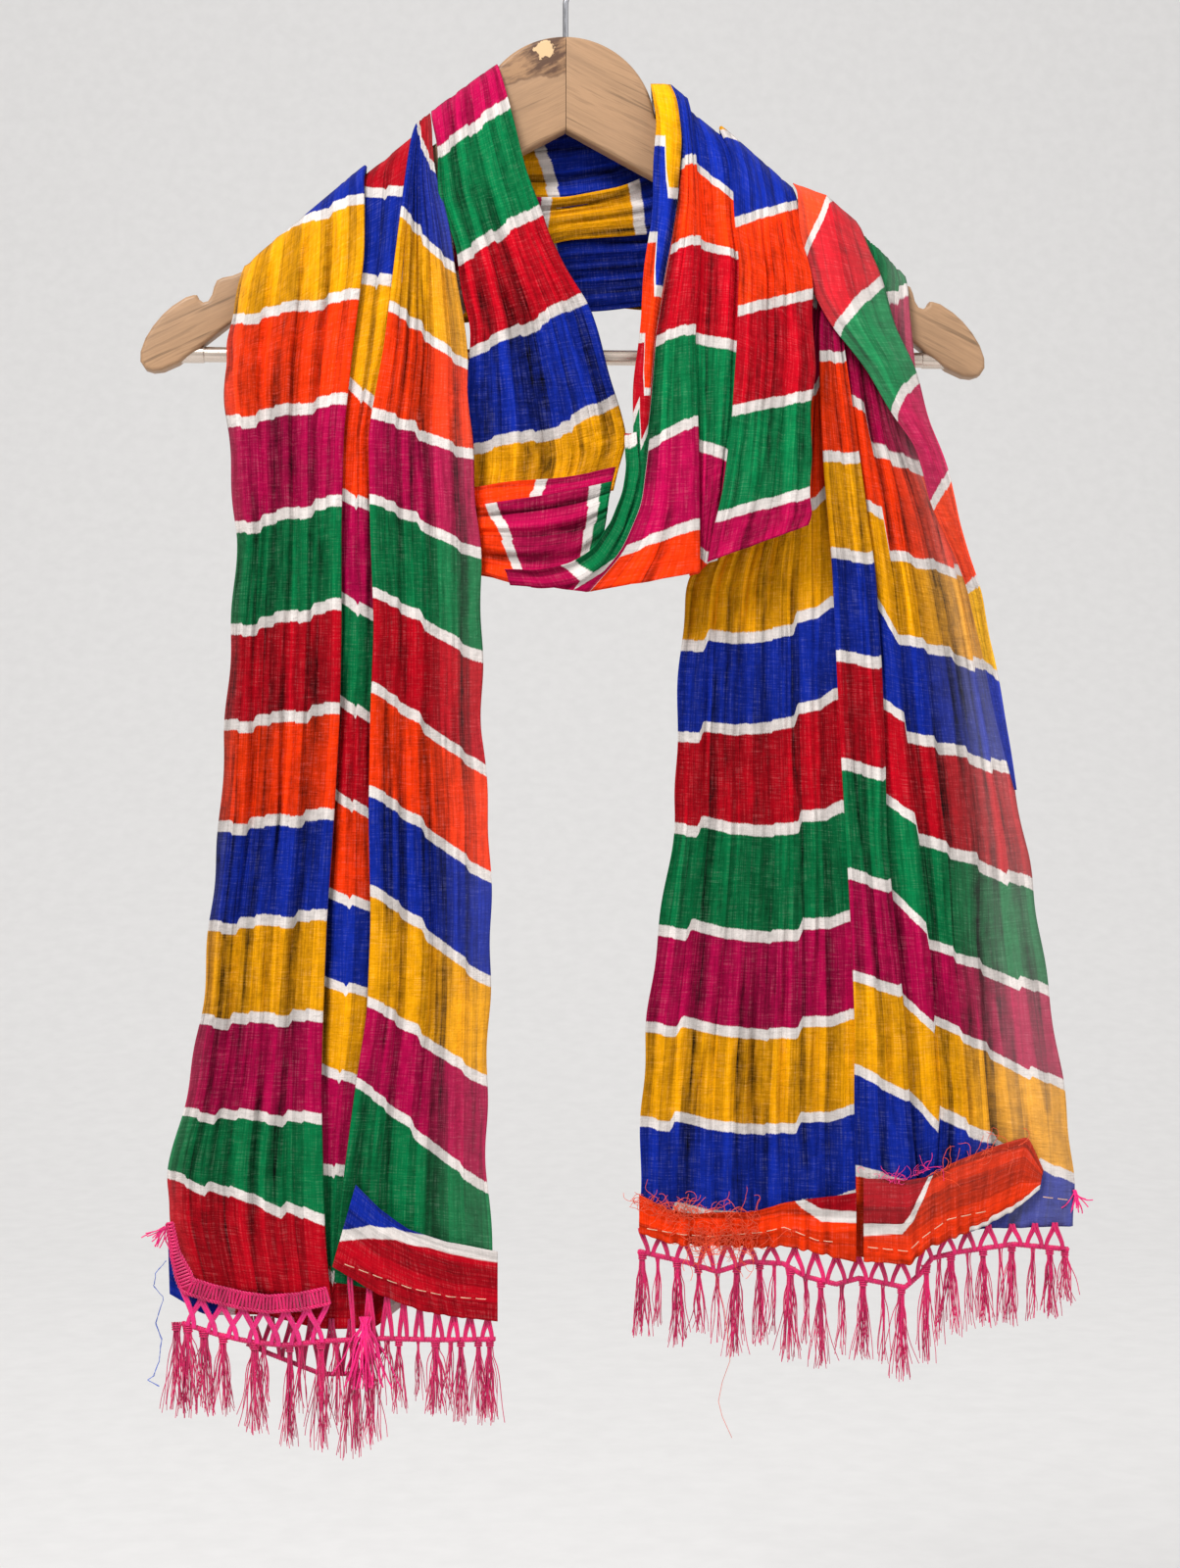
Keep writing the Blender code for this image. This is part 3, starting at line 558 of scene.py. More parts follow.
loopRight = {
    # share above 1: this loop's dye is painted brighter, as painted light
    "node": "loop_right", "seed": 12, "tucked": True, "runs": "down", "share": 1.3,
    "jumps": {0: ((0, 0), (0.46, 0), (0.52, 28), (1, 28))},
    "pleats": ((1, 0.5), (2, 1), (1, 1.2), (3, 1.5)), "turns": (0, 3, -3),
    "spacing": 1.1, "rowStep": 2.4,
    "rows": [
        # rolled edge, first fold, second fold, third fold, right edge, y, pleated
        (45, -90, 55, -90, 64, -97, 83, -112, 120, -144, 0, 0),
        (45, -97, 58, -99, 65, -106, 84, -119, 121, -151, -9.5, 0.2),
        (47, -114, 60, -121, 67, -131, 88, -134, 122, -170, -15, 0.6),
        (44, -149, 58, -151, 68, -160, 88, -161, 124, -185, -22, 1),
        (41, -176, 53, -181, 68, -183, 90, -189, 126, -205, -29, 1),
        (36, -229, 44, -231, 64, -229, 88, -231, 127, -247, -38, 1),
        (33, -279, 40, -280, 65, -280, 84, -278, 124, -284, -46, 1),
        (29, -315, 36, -317, 65, -317, 79, -311, 123, -312, -51, 1),
        (17, -339, 26, -341, 65, -339, 74, -331, 122, -321, -53, 1),
        (-9, -360, 8, -362, 65, -352, 71, -346, 120, -328, -54, 1),
    ],
    "order": "yellow blue orange red green magenta orange",
    "lines": [
        (1, (124, 177, 231, 272, 345), (124, 177, 231, 248, 320)),
        (1, (80, 136, 182, 231, 286, 341), (82, 133, 177, 225, 273, 326)),
        (1, (97, 134, 178, 229, 285, 340), (99, 153, 184, 233, 291, 345)),
        (1, (118, 168, 216, 269, 324), (120, 154, 205, 259, 310)),
    ],
    "creases": [
        (0.07, 0.08, 0.03, 0.8, -1.9, 0.7),
        (0.30, 0.28, 0.2, 0.9, -1.5, 1.8), (0.38, 0.36, 0.1, 0.7, -1.3, 1.6),
        (0.55, 0.52, 0.2, 1, -1.4, 1.8), (0.68, 0.66, 0.15, 1, -2, 2.2),
        (0.77, 0.74, 0.25, 0.7, -2.2, 2.4), (0.86, 0.84, 0.15, 1, -1.8, 2.2),
        (0.93, 0.93, 0.3, 0.9, -1.2, 1.8),
    ],
}
loopLeft = {
    # share above 1: this loop's dye is painted brighter, as painted light
    "node": "loop_left", "share": 1.3, "seed": 17, "runs": "down",
    "pleats": ((1, 1.3), (2, 1.2), (1, 1.3)), "turns": (0, 0),
    "spacing": 1.1, "rowStep": 2.4,
    "rows": [
        # left edge, third, two thirds, right edge, y, pleated
        (-70.4, -106, -57, -95.8, -45, -87, -36, -80.8, 0, 0),
        (-70.2, -111, -57, -101.6, -44, -92, -35, -84, -9, 0.4),
        (-67, -130, -55, -124, -41, -117, -29, -109, -14, 1),
        (-65, -155, -50, -151, -34, -146, -19, -141, -16, 1),
        (-57, -184, -41, -181, -25, -177, -10, -172, -18, 1),
        (-51, -221, -31, -218, -11, -214, 10, -209, -20, 1),
        (-53, -265, -26, -264, 0, -262, 26, -259, -21.5, 1),
        (-53, -297, -25, -295, 5, -289, 31, -282, -22.5, 1),
        (-57, -318, -27, -315, -2, -311, 24, -307, -22.7, 0),
    ],
    "order": "magenta green red blue yellow",
    "lines": [
        (1, (130, 187, 235, 286), (122, 178, 226, 280)),
        (1, (122, 178, 226, 281), (112, 168, 217, 274)),
        (1, (112, 169, 216, 272), (104, 161, 206, 259)),
    ],
    "creases": [
        (0.16, 0.14, 0.1, 0.9, -1.6, 1.8), (0.30, 0.38, 0.2, 1, -1.9, 1.8),
        (0.45, 0.50, 0.25, 0.95, -1.8, 1.6), (0.62, 0.66, 0.1, 1, -1.5, 1.8),
        (0.80, 0.82, 0.2, 0.9, -1.3, 1.6), (0.52, 0.60, 0.5, 1, -1.6, 1.6),
        (0.12, 0.28, 0.45, 1, -2, 2), (0.32, 0.48, 0.45, 0.95, -2.4, 2),
        (0.54, 0.66, 0.50, 1, -2, 2), (0.80, 0.90, 0.52, 0.92, -2.2, 2.6),
    ],
}
loopBottom = {
    # share above 1: this loop's dye is painted brighter, as painted light
    "node": "loop_bottom", "share": 1.25, "seed": 21, "runs": "right", "flip": -1,
    "pleats": ((1, 0.6), (3, 1.2)), "turns": (-3,), "spacing": 1, "rowStep": 1.8,
    "rows": [
        # top edge, fold, bottom edge, y, pleated
        (-56, -306, -55, -316, -54, -350, -24.4, 0.4),
        (-45, -307, -44, -317, -42, -353, -28, 1),
        (-29, -305, -29, -315, -30, -357, -32.5, 1),
        (-14, -303, -14, -313, -16, -359, -35.5, 1),
        (9, -300, 8, -309, 2, -357, -38.5, 1),
        (24, -297, 22, -306, 17, -342, -40, 1),
    ],
    "order": "orange magenta green",
    "lines": [(1, (-14, 40), (-17, 40)), (1, (-39, 14), (-21, 7))],
    "creases": [(0.35, 0.38, 0, 1, -1.3, 1.6), (0.58, 0.55, 0.2, 1, -1.5, 1.8),
                (0.80, 0.76, 0, 0.8, -1.3, 1.6)],
}
rolledEdge = {
    "node": "rolled_edge", "seed": 24, "runs": "along",
    "pleats": ((0.5, 1.8),), "spacing": 0.7, "rowStep": 1.6,
    "rows": [
        # inner edge, outer edge, y, pleated
        (29, -281, 35, -280, -48.6, 0.6),
        (29, -298, 36, -298, -51.5, 1),
        (27, -312, 33, -314, -54, 1),
        (22, -327, 28, -331, -55.5, 1),
        (12, -340, 18, -347, -56.5, 1),
        (-1, -347, 5, -356, -57, 1),
        (-18, -351, -12, -360, -55, 1),
        (-33, -350, -30, -358, -48.5, 0.6),
    ],
    "order": "red green magenta",
    "lines": [(1, (4, 84), (2, 80))],
    "creasePitch": 2.5, "creaseDepth": 0.5,
}
shoulderFold = {
    "node": "shoulder_fold", "seed": 27, "runs": "down",
    # share above 1: this fold's dye is painted brighter, as painted light
    "sheer": {0: ((0, 0.03), (1, 0.02)), 1: ((0, 0.02), (1, 0.04))}, "share": 1.6,
    "pleats": ((1, 0.9), (1, 0.9)), "turns": (0,), "spacing": 1, "rowStep": 2,
    "rows": [
        # left edge, middle, right edge, y, pleated
        (120.6, -141, 138, -147, 154, -160.7, 2, 0),
        (121.4, -148.4, 138, -155, 155, -168, -12, 0.2),
        (122.6, -173, 142, -178, 161, -185, -20, 1),
        (126.8, -202, 146, -203, 166, -205, -26, 1),
        (137, -222, 154, -223, 171, -224, -30, 1),
        (151, -242, 165, -242, 178, -243, -32, 1),
        (167, -267, 176, -268, 186, -269, -34, 1),
        (178, -283, 185, -284, 192, -286, -35, 1),
        (187, -311, 194, -312, 201, -313, -35, 1),
        (200, -340, 204, -341, 208, -342, -34, 0.8),
        (208, -361, 212, -362, 215, -362, -32.6, 0.6),
        (213.5, -385, 216.5, -386, 219.3, -386, -31.4, 0.4),
        (219, -412, 222, -412, 224.6, -412, -30.4, 0.3),
        (226, -440, 228, -440, 229.8, -440, -29.8, 0.1),
        (232, -462, 232.6, -462, 233.3, -462, -29.4, 0),
    ],
    "order": "orange red green magenta orange yellow blue",
    "lines": [(1, (184, 226, 270, 316, 359, 398), (152, 212, 259, 308, 356, 400)),
              (1, (152, 212, 259, 308, 356, 400), (132, 197, 248, 299, 353, 402))],
    "creaseDepth": 0.6,
}
wrapInner = {
    "node": "wrap_inner", "seed": 31, "runs": "right", "depths": 2,
    "pleats": ((3, 1.5), (1.5, 1.3), (3, 1.5)), "turns": (-3, 3), "spacing": 1.2, "rowStep": 2.6,
    "rows": [
        # outer edge, lower fold, upper fold, inner edge, y outer, y inner, pleated
        (-167, -188, -136, -161, -104, -135, -74, -110, 0, 0, 0),
        (-167, -192.8, -136, -167, -104, -141, -75, -116, 9.5, 9.5, 0.2),
        (-160, -212, -132, -186, -102, -155, -73, -124, 13, 11.5, 1),
        (-118, -218, -98, -194, -76, -154, -56, -118, 15, 12.5, 1),
        (-58, -214, -48, -184, -38, -149, -28, -110, 16, 13, 1),
        (0, -207, 0, -169, 0, -149, 0, -104, 16, 13, 1),
        (46, -203, 38, -166, 30, -143, 24, -100, 16, 13, 1),
        (92, -196, 76, -162, 58, -131, 42, -101, 15, 12.5, 1),
        (116, -168, 94, -145, 70, -122, 48, -101, 12, 11.5, 1),
        (120, -150, 96, -130, 70, -112, 47, -97, 9.5, 9.5, 0.2),
        (119, -144, 95, -124, 70, -105, 46, -90, 0, 0, 0),
    ],
    "order": "yellow magenta green magenta yellow blue yellow orange",
    "lines": [(1, (-208, -160, -108, -56, -3, 58, 110), (-208, -160, -108, -60, -9, 56, 108)),
              (1, (-164, -112, -62, -14, 40, 92, 144), (-164, -112, -62, -10, 36, 92, 144)),
              (1, (-208, -160, -108, -58, -4, 52, 104), (-208, -160, -108, -66, -18, 48, 100))],
    "creases": [(0.12, 0.16, 0.25, 0.85, -2.2, 2.4), (0.30, 0.27, 0.3, 0.8, -2.4, 3),
                (0.52, 0.55, 0.35, 0.8, -2, 2), (0.72, 0.70, 0.3, 0.75, -2.2, 2.4),
                (0.97, 0.97, 0.3, 0.8, -2.4, 4)],
}
wrapOuter = {
    "node": "wrap_outer", "seed": 35, "runs": "right", "depths": 2,
    "pleats": ((4, 1.6), (4, 1.6)), "turns": (3,), "spacing": 1.5, "rowStep": 2.6,
    "rows": [
        # outer edge, middle, inner edge, y outer, y inner, pleated
        (-67, -103, -51, -91, -36, -81.3, 0, 0, 0),
        (-66, -107, -51, -96, -35, -83.6, 9, 9, 0.2),
        (-64, -117, -49, -107, -34, -92, 20.5, 20.5, 0.8),
        (-58, -150, -42, -124, -26, -97, 24, 22.5, 1),
        (-34, -186, -22, -142, -10, -97, 26, 23.5, 1),
        (12, -199, 14, -152, 16, -98, 27, 24, 1),
        (62, -206, 54, -160, 46, -105, 27, 24, 1),
        (114, -224, 98, -176, 82, -121, 26, 23, 1),
        (160, -226, 138, -190, 112, -138, 20, 21, 1),
        (180, -197, 154, -171, 128, -149, 10, 12, 0.2),
        (180, -189.3, 154, -163, 129, -146, 0, 0, 0),
    ],
    "order": "magenta orange yellow blue green red orange",
    "lines": [(1, (-40, 12, 62, 112, 160, 230), (-38, 14, 64, 116, 164, 232)),
              (1, (-34, 20, 72, 122, 170, 230), (-30, 24, 74, 124, 170, 232))],
    "creases": [(0.04, 0.05, 0.2, 0.85, -2.4, 3.4), (0.20, 0.25, 0.25, 0.8, -2.2, 2.4),
                (0.40, 0.37, 0.2, 0.8, -2.4, 2.6), (0.66, 0.64, 0.3, 0.75, -2, 3.4),
                (0.92, 0.94, 0.25, 0.8, -2, 2.4)],
}
hemBase = {
    "runs": "across", "flip": -1, "spacing": 1, "rowStep": 0.9, "creasePitch": 4,
    "creaseDepth": 0.3, "lines": [(1, (0, 60), (0, 60))],
}
hemLeft = {
    **hemBase, "node": "hem_left", "ruffle": 0.35, "seed": 41, "wall": 0.9, "pleats": ((0.5, 0.6),),
    "rows": [
        # upper edge, lower edge, y, pleated
        (-109, -665, -121, -707, -25.6, 0),
        (-97, -677, -100, -720, -26, 0.7),
        (-82, -687, -75, -729, -26.2, 0.8),
        (-62, -695, -55, -734, -26, 0.8),
        (-36, -700, -36, -736, -25.6, 0),
    ],
    "order": "blue red",
    "tilt": ((0, 26), (0.17, 15), (0.38, 6), (0.6, 2.2), (1, 1.5)),
}
hemRight = {
    **hemBase, "node": "hem_right", "ruffle": 0.75, "seed": 44, "wall": 0.9,
    "pleats": ((0.5, 0.7),),
    "rows": [
        # upper edge, lower edge, y, pleated
        (37, -671, 37, -691, -26.6, 0),
        (52, -678, 52, -695, -27.2, 1),
        (66, -681, 66, -697, -27.6, 1),
        (94, -680, 94, -698, -27.6, 1),
        (112, -675, 112, -697, -27.6, 1),
        (134, -674, 134, -704, -27.8, 1),
        (142, -672, 142, -705, -30.2, 0.4),
        (149, -670, 149, -706, -32.4, 0),
    ],
    "order": "red orange",
    "tilt": ((0, -12), (0.68, -8), (0.76, 3), (0.84, 10), (1, 13)),
}
hemFlap = {
    **hemBase, "node": "hem_flap", "ruffle": 0.6, "seed": 47, "share": 0.78, "pleats": ((1, 0.8),),
    "rows": [
        # upper edge, lower edge, y, pleated
        (153, -663, 153, -706, -30.8, 0.3),
        (176, -664, 177, -708, -31, 0.8),
        (188, -661, 186, -698, -30.5, 1),
        (200, -654, 200, -693, -28.6, 1),
        (220, -648, 216, -689, -27.6, 1),
        (240, -642, 233, -680, -26.8, 0.6),
        (248, -660, 246, -670, -26.2, 0),
    ],
    "order": "red orange blue",
    "tilt": ((0, 27), (0.2, 26), (0.27, 17), (0.33, 6), (0.38, -6), (1, -12)),
    "edgeLines": ((0.60, 1, 3, 2),), "sheer": {0: ((0, 0.02), (1, 0))},
}
backEdge = {
    # the far layer of the tail, which hangs a little lower and shows between tape and cord
    "seed": 49, "runs": "right", "flip": -1,
    "pleats": ((0.5, 0.5),), "spacing": 1.3, "rowStep": 1.6,
    "rows": [
        # upper edge, lower edge, y, pleated
        (-206, -690, -205, -722, -16.5, 0),
        (-190, -700, -188, -733, -16.5, 0.8),
        (-160, -706, -160, -734, -16.5, 0.8),
        (-128, -708, -128, -740, -16.5, 0.8),
        (-100, -706, -100, -741, -16.5, 0.8),
        (-84, -706, -86, -730, -16.5, 0),
    ],
    "order": "blue red", "creasePitch": 3, "creaseDepth": 0.5,
    "lines": [(1, (-177, -90), (-177, -90))],
}

stretches = [{**clothBase, **piece} for piece in (
    tailLeft, tailRight, loopRight, loopLeft, loopBottom, rolledEdge, shoulderFold,
    wrapInner, wrapOuter, hemLeft, hemRight, hemFlap)]
shapes = {piece["node"]: shapeCloth(piece) for piece in stretches}
for node, onto, start in (("wrap_inner", "tail_left", True), ("wrap_inner", "loop_right", False),
                          ("wrap_outer", "loop_left", True), ("wrap_outer", "tail_right", False)):
    joinEnd(shapes[node], shapes[onto]["points"][0][::1 if start else -1], start)
for piece in stretches:
    node = piece["node"]
    first, *others = node.split("_")
    name = first + "".join(word.capitalize() for word in others) + "Cloth"
    place(meshCloth(name, shapes[node], piece), node)
    print("cloth:", name, shapes[node]["points"].shape[:2])
backPiece = {**clothBase, **backEdge}
backCloth = place(meshCloth("tailBackEdge", shapeCloth(backPiece), backPiece))

# The hanger: two wooden halves, the bar and the hook.
hangerLook = {
    "halfWood": 6.0, "round": 2.2, "domeRadius": 47.0, "domeCentre": -114.0, "domeAngle": 84,
    "gap": 0.15, "barRadius": 4.5, "barHeight": -234.5, "barHalf": 202.0, "sleeve": 13.0,
    "wire": 1.5, "bend": 20.0, "hookTurn": (-57, 257), "grainTilt": -27,
}
armOutline = [(52, -113), (110, -152), (167, -191), (174, -194), (179, -195), (182, -196.5),
              (183.5, -200), (184.5, -204), (186.5, -207.3), (189, -208), (191.2, -206.5),
              (192.2, -204.2), (194, -204.2), (198, -205.4), (205, -210), (210, -214.5),
              (215, -220.5), (219, -227), (221.5, -234), (221.6, -239), (219, -243), (215, -244.2),
              (210, -243.6), (202, -240), (190, -231), (176, -220), (80, -159), (0, -116)]
stemBend = [(0, 0), (0, 9), (0, 17), (0.05, 18.5), (0.25, 19.7), (0.6, 20.8), (1.2, 21.9),
            (2.0, 22.8), (3.2, 23.7), (4.6, 24.6), (7.0, 26.0)]


def woodMaterial(name, side):
    # straight fine grain that runs down each arm, mirrored at the glued middle seam
    paint = Paint(name, {"Specular IOR Level": 0.35, "Coat Weight": 0.08, "Coat Roughness": 0.4})
    spot = paint.node("TexCoord", output="Object")
    tilt = side * math.radians(hangerLook["grainTilt"])
    turned = paint.node("Mapping", {"Vector": spot, "Rotation": (0, tilt, 0)})
    bend = paint.node("TexNoise", {"Vector": turned, "Scale": 9, "Detail": 1}, "Color")
    grain = paint.node("VectorMath", {"operation": "MULTIPLY_ADD", 0: bend, 1: (0, 0, 0.010),
                                      2: turned})
    rings = paint.noise(grain, (0.05, 1, 1), 420, 4, 0.55)
    pores = paint.noise(grain, (0.06, 1, 1), 1500, 2, 0.6)
    streak = paint.noise(grain, (0.035, 1, 1), 260, 3, 0.6)
    tone = paint.tone((rings, 0.3, 0.7, 0.80, 1.08), (pores, 0.3, 0.7, -0.06, 0.05),
                      (paint.noise(grain, (0.2, 1, 1), 60), 0.3, 0.7, -0.07, 0.06),
                      (rings, 0.58, 0.66, 0, -0.30), (streak, 0.60, 0.67, 0, -0.34))
    colour = paint.shade((0.385, 0.225, 0.120, 1), tone)
    if side < 0:
        # bark left in the top of the left half: brown above a dark line, with one pale knot
        x, z = (paint.node("SeparateXYZ", {"Vector": spot}, axis) for axis in "XZ")
        above = paint.math("SUBTRACT", z, paint.math("MULTIPLY_ADD", x, 0.19, -0.0858))
        above = paint.add(above, paint.sway(paint.noise(spot, (1, 1, 1), 90, 4), 0.009))
        knot = paint.node("VectorMath", {"operation": "DISTANCE", 0: spot,
                                         1: (-0.0111, -0.006, -0.0738)}, "Value")
        knot = paint.add(knot, paint.sway(paint.noise(spot, (1, 1, 1), 330), 0.0075))
        streaks = paint.noise(turned, (0.18, 1, 1), 300, 4, 0.65)
        bark = paint.ramp(paint.add(streaks, paint.span(knot, 0.005, 0.018, -0.22, 0.08)),
                          [(0.34, (0.085, 0.036, 0.016, 1)), (0.56, (0.33, 0.18, 0.085, 1))])
        for share, tint in ((paint.span(above, -0.0006, 0.0008, 0, 1), bark),
                            (paint.span(paint.math("ABSOLUTE", above), 0.0003, 0.0012, 0.6, 0),
                             (0.10, 0.045, 0.02, 1)),
                            (paint.span(knot, 0.0046, 0.0051, 1, 0), (0.60, 0.40, 0.21, 1))):
            colour = paint.mix(share, colour, tint)
    paint.feed("Base Color", colour)
    paint.feed("Roughness", paint.span(pores, 0.3, 0.7, 0.56, 0.46))
    paint.bump(pores, 0.2, 0.00015)
    return paint.material


def hangerHalf(name, node, side):
    look = hangerLook
    radius, half = look["domeRadius"], look["halfWood"]
    dome = [math.radians(look["domeAngle"]) * i / 28 for i in range(29)]
    outline = [(radius * math.sin(a), look["domeCentre"] + radius * math.cos(a)) for a in dome]
    bm = bmesh.new()
    face = bm.faces.new([bm.verts.new((side * max(x, look["gap"]) * mm, -half * mm, z * mm))
                         for x, z in outline + armOutline])
    made = bmesh.ops.extrude_face_region(bm, geom=[face])
    moved = [v for v in made["geom"] if isinstance(v, bmesh.types.BMVert)]
    bmesh.ops.translate(bm, verts=moved, vec=(0, 2 * half * mm, 0))
    bmesh.ops.recalc_face_normals(bm, faces=bm.faces)
    rim = [e for e in bm.edges if abs(e.verts[0].co.y - e.verts[1].co.y) < 1e-7
           and not (abs(e.verts[0].co.x) < 0.001 and abs(e.verts[1].co.x) < 0.001)]
    bmesh.ops.bevel(bm, geom=rim, affect="EDGES", offset=look["round"] * mm, segments=5,
                    profile=0.5, material=-1, clamp_overlap=True)
    bmesh.ops.triangulate(bm, faces=[f for f in bm.faces if len(f.verts) > 4])
    item = addPiece(name, bm, woodMaterial(name + "Wood", side), smooth=False)
    for polygon in item.data.polygons:
        polygon.use_smooth = abs(polygon.normal.y) < 0.999
    item.data.set_sharp_from_angle(angle=math.radians(42))
    place(item, node)


def makeBar():
    look = hangerLook
    half, end, radius = look["barHalf"], look["barHalf"] - look["sleeve"], look["barRadius"]
    bm = bmesh.new()
    chain = [bm.verts.new((x * mm, 0, r * mm)) for x, r in (
        (-half, 0), (-half, radius), (-end, radius), (-end + 0.4, radius - 0.5),
        (end - 0.4, radius - 0.5), (end, radius), (half, radius), (half, 0))]
    edges = [bm.edges.new(pair) for pair in zip(chain, chain[1:])]
    bmesh.ops.spin(bm, geom=chain + edges, cent=(0, 0, 0), axis=(1, 0, 0), angle=math.tau,
                   steps=48, use_merge=True)
    bmesh.ops.remove_doubles(bm, verts=bm.verts, dist=1e-6)
    bmesh.ops.recalc_face_normals(bm, faces=bm.faces)
    bmesh.ops.translate(bm, verts=bm.verts, vec=(0, 0, look["barHeight"] * mm))
    metal = plainFinish("barMetal", {"Metallic": 0.85, "Specular IOR Level": 0.5}, (1, 18, 18),
                        60, 3, (0.66, 0.56, 0.48, 1), (0.9, 1.08), (0.20, 0.32))
    item = addPiece("trouserBar", bm, metal)
    item.data.set_sharp_from_angle(angle=math.radians(40))
    place(item, "hanger_bar")


def tubeMesh(name, routes, radius, sides=1, tips=1.0):
    # round threads and wires along chains of points; tips narrows each towards its end
    curve = bpy.data.curves.new(name, "CURVE")
    curve.dimensions = "3D"
    curve.bevel_depth = radius * mm
    curve.bevel_resolution = sides
    curve.use_fill_caps = True
    for route in routes:
        line = curve.splines.new("POLY")
        line.points.add(len(route) - 1)
        for index, (point, (x, y, z)) in enumerate(zip(line.points, route)):
            point.co = (x * mm, y * mm, z * mm, 1)
            point.radius = 1 + (tips - 1) * index / (len(route) - 1)
    holder = bpy.data.objects.new(name, curve)
    bpy.context.scene.collection.objects.link(holder)
    graph = bpy.context.evaluated_depsgraph_get()
    mesh = bpy.data.meshes.new_from_object(holder.evaluated_get(graph))
    mesh.name = name
    bpy.data.objects.remove(holder, do_unlink=True)
    bpy.data.curves.remove(curve)
    return mesh


def makeHook():
    look = hangerLook
    middle, foot = look["bend"] + look["wire"], look["domeCentre"] + look["domeRadius"] + 0.3
    route = [(x, 0, foot + z) for x, z in stemBend]
    start, turn = look["hookTurn"]
    for i in range(85):
        angle = math.radians(start + turn * i / 84)
        route.append((middle * math.cos(angle), 0, -look["bend"] + middle * math.sin(angle)))
    steel = plainFinish("hookSteel", {"Metallic": 1.0}, (1, 1, 0.2), 900, 3, (0.34, 0.34, 0.36, 1),
                        (0.9, 1.05), (0.14, 0.26))
    place(addPiece("hangingHook", tubeMesh("hangingHook", [route], look["wire"], 6), steel),
          "hook")


hangerHalf("hangerLeftHalf", "hanger_left", -1)
hangerHalf("hangerRightHalf", "hanger_right", 1)
makeBar()
makeHook()
print("hanger: two halves, bar and hook")

# The trim: woven tape, pointed loops, chain cord, tassels and loose threads.
trimLook = {
    "radius": {"Threads": 0.30, "Cord": 0.80, "Binding": 0.42, "ribs": 0.74, "edges": 0.55,
               "pointedLoops": 0.9, "hemLoops": 0.74, "farLoops": 0.7, "brightTassel": 0.42,
               "orangeFray": 0.14, "redFray": 0.14, "looseBlueThread": 0.17, "pinkTufts": 0.34,
               "runningStitches": 0.25},
    "spread": 0.56,                         # how far a tassel fans out, as a share of its width
    "tip": 0.65,                            # how much thinner a thread is at its end
    "cordTwist": (3, 0.55, 4.2, 0.7, 0.7),  # strands, step, length of a turn, lift, depth
    "edgeTwist": (2, 0.6, 3.5, 0.55, 0.5),
    "stitch": (5.2, 2.6),                   # length and gap
    "surface": {"Roughness": 0.42, "Sheen Weight": 0.25, "Sheen Roughness": 0.35,
                "Specular IOR Level": 0.5},
}


def threadMaterial(name, dye, share=1.0):
    paint = Paint(name, trimLook["surface"])
    spot = paint.node("TexCoord", output="Object")
    fine = paint.noise(spot, (1, 1, 0.6), 1800)
    tone = paint.tone((paint.noise(spot, (1, 1, 0.25), 170, 3), 0.3, 0.7, 0.66, 1.14),
                      (fine, 0.3, 0.7, -0.16, 0.16))
    paint.feed("Base Color", paint.shade(linear(dye, share), tone))
    paint.bump(fine, 0.5, 0.0002)
    return paint.material


pinkThread = threadMaterial("pinkThread", "trim")


def alongRoute(route, distance):
    for (x0, z0), (x1, z1) in zip(route, route[1:]):
        length = math.hypot(x1 - x0, z1 - z0)
        if distance <= length:
            share = distance / length
            return x0 + (x1 - x0) * share, z0 + (z1 - z0) * share, math.atan2(z1 - z0, x1 - x0)
        distance -= length
    return x1, z1, math.atan2(z1 - z0, x1 - x0)


def besideRoute(route, distance, away, shift=0.0):
    x, z, slope = alongRoute(route, distance)
    return (x - math.sin(slope) * away + shift * math.cos(slope), z + math.cos(slope) * away)


def routeReach(route):
    return sum(math.dist(a, b) for a, b in zip(route, route[1:]))


def heightOn(line, x):
    return float(np.interp(x, *zip(*line)))


def twisted(route, y, strands, step, pitch, lift, depth, offset=lambda distance: 0.0):
    # strands that wind round each other along a route
    chains = []
    for strand in range(strands):
        chain = []
        for i in range(int(routeReach(route) / step) + 1):
            turn = math.tau * (i * step / pitch + strand / strands)
            x, z = besideRoute(route, i * step, offset(i * step) + lift * math.sin(turn))
            chain.append((x, y + depth * math.cos(turn), z))
        chains.append(chain)
    return chains


def tassel(rolls, x, y, top, bottom, width, threads):
    # threads leave the cord together, are drawn in where they are bound, then fan out unevenly
    chains = []
    for _ in range(threads):
        root = rolls.uniform(-0.5, 0.5) * min(width, 7)
        end = rolls.gauss(0, trimLook["spread"]) * width
        deep = rolls.uniform(-1.6, 1.6)
        length = (top - bottom) * (1 - abs(rolls.gauss(0, 0.13)))
        bow, lag = rolls.uniform(-1.5, 1.5), rolls.uniform(0, 6.28)
        chain = []
        for i in range(10):
            t = i / 9
            pinch = 0.35 + 0.65 * min(1.0, abs(t - 0.16) * 5) if t < 0.35 else 1
            chain.append((x + (root * (1 - t) + end * t) * pinch + bow * math.sin(t * 7 + lag) * t,
                          y + deep * (0.4 + t) + 0.5 * math.sin(t * 9 + lag) * t, top - length * t))
        chains.append(chain)
    return chains


fringeLeft = {
    "cord": [(-198, -736), (-180, -742), (-163, -746), (-146, -748), (-125, -746), (-95, -745),
             (-67, -746), (-37, -746)],
    "y": -22.0, "seed": 51,
    "tassels": [  # place, bottom, width, threads
        (-201, -783, 7, 22), (-195, -785, 9, 34), (-187, -784, 8, 24), (-177, -784, 7, 26),
        (-161, -794, 9, 36), (-156, -780, 5, 10), (-143, -801, 5, 26), (-137, -784, 5, 12),
        (-127, -803, 6, 30), (-119, -790, 6, 14), (-110, -808, 8, 38), (-102, -800, 7, 24),
        (-93, -780, 5, 10), (-87, -784, 4, 16), (-77, -778, 4, 8), (-68, -785, 7, 34),
        (-60, -780, 4, 10), (-55, -790, 5, 24), (-46, -790, 5, 20), (-40, -791, 5, 26)],
}
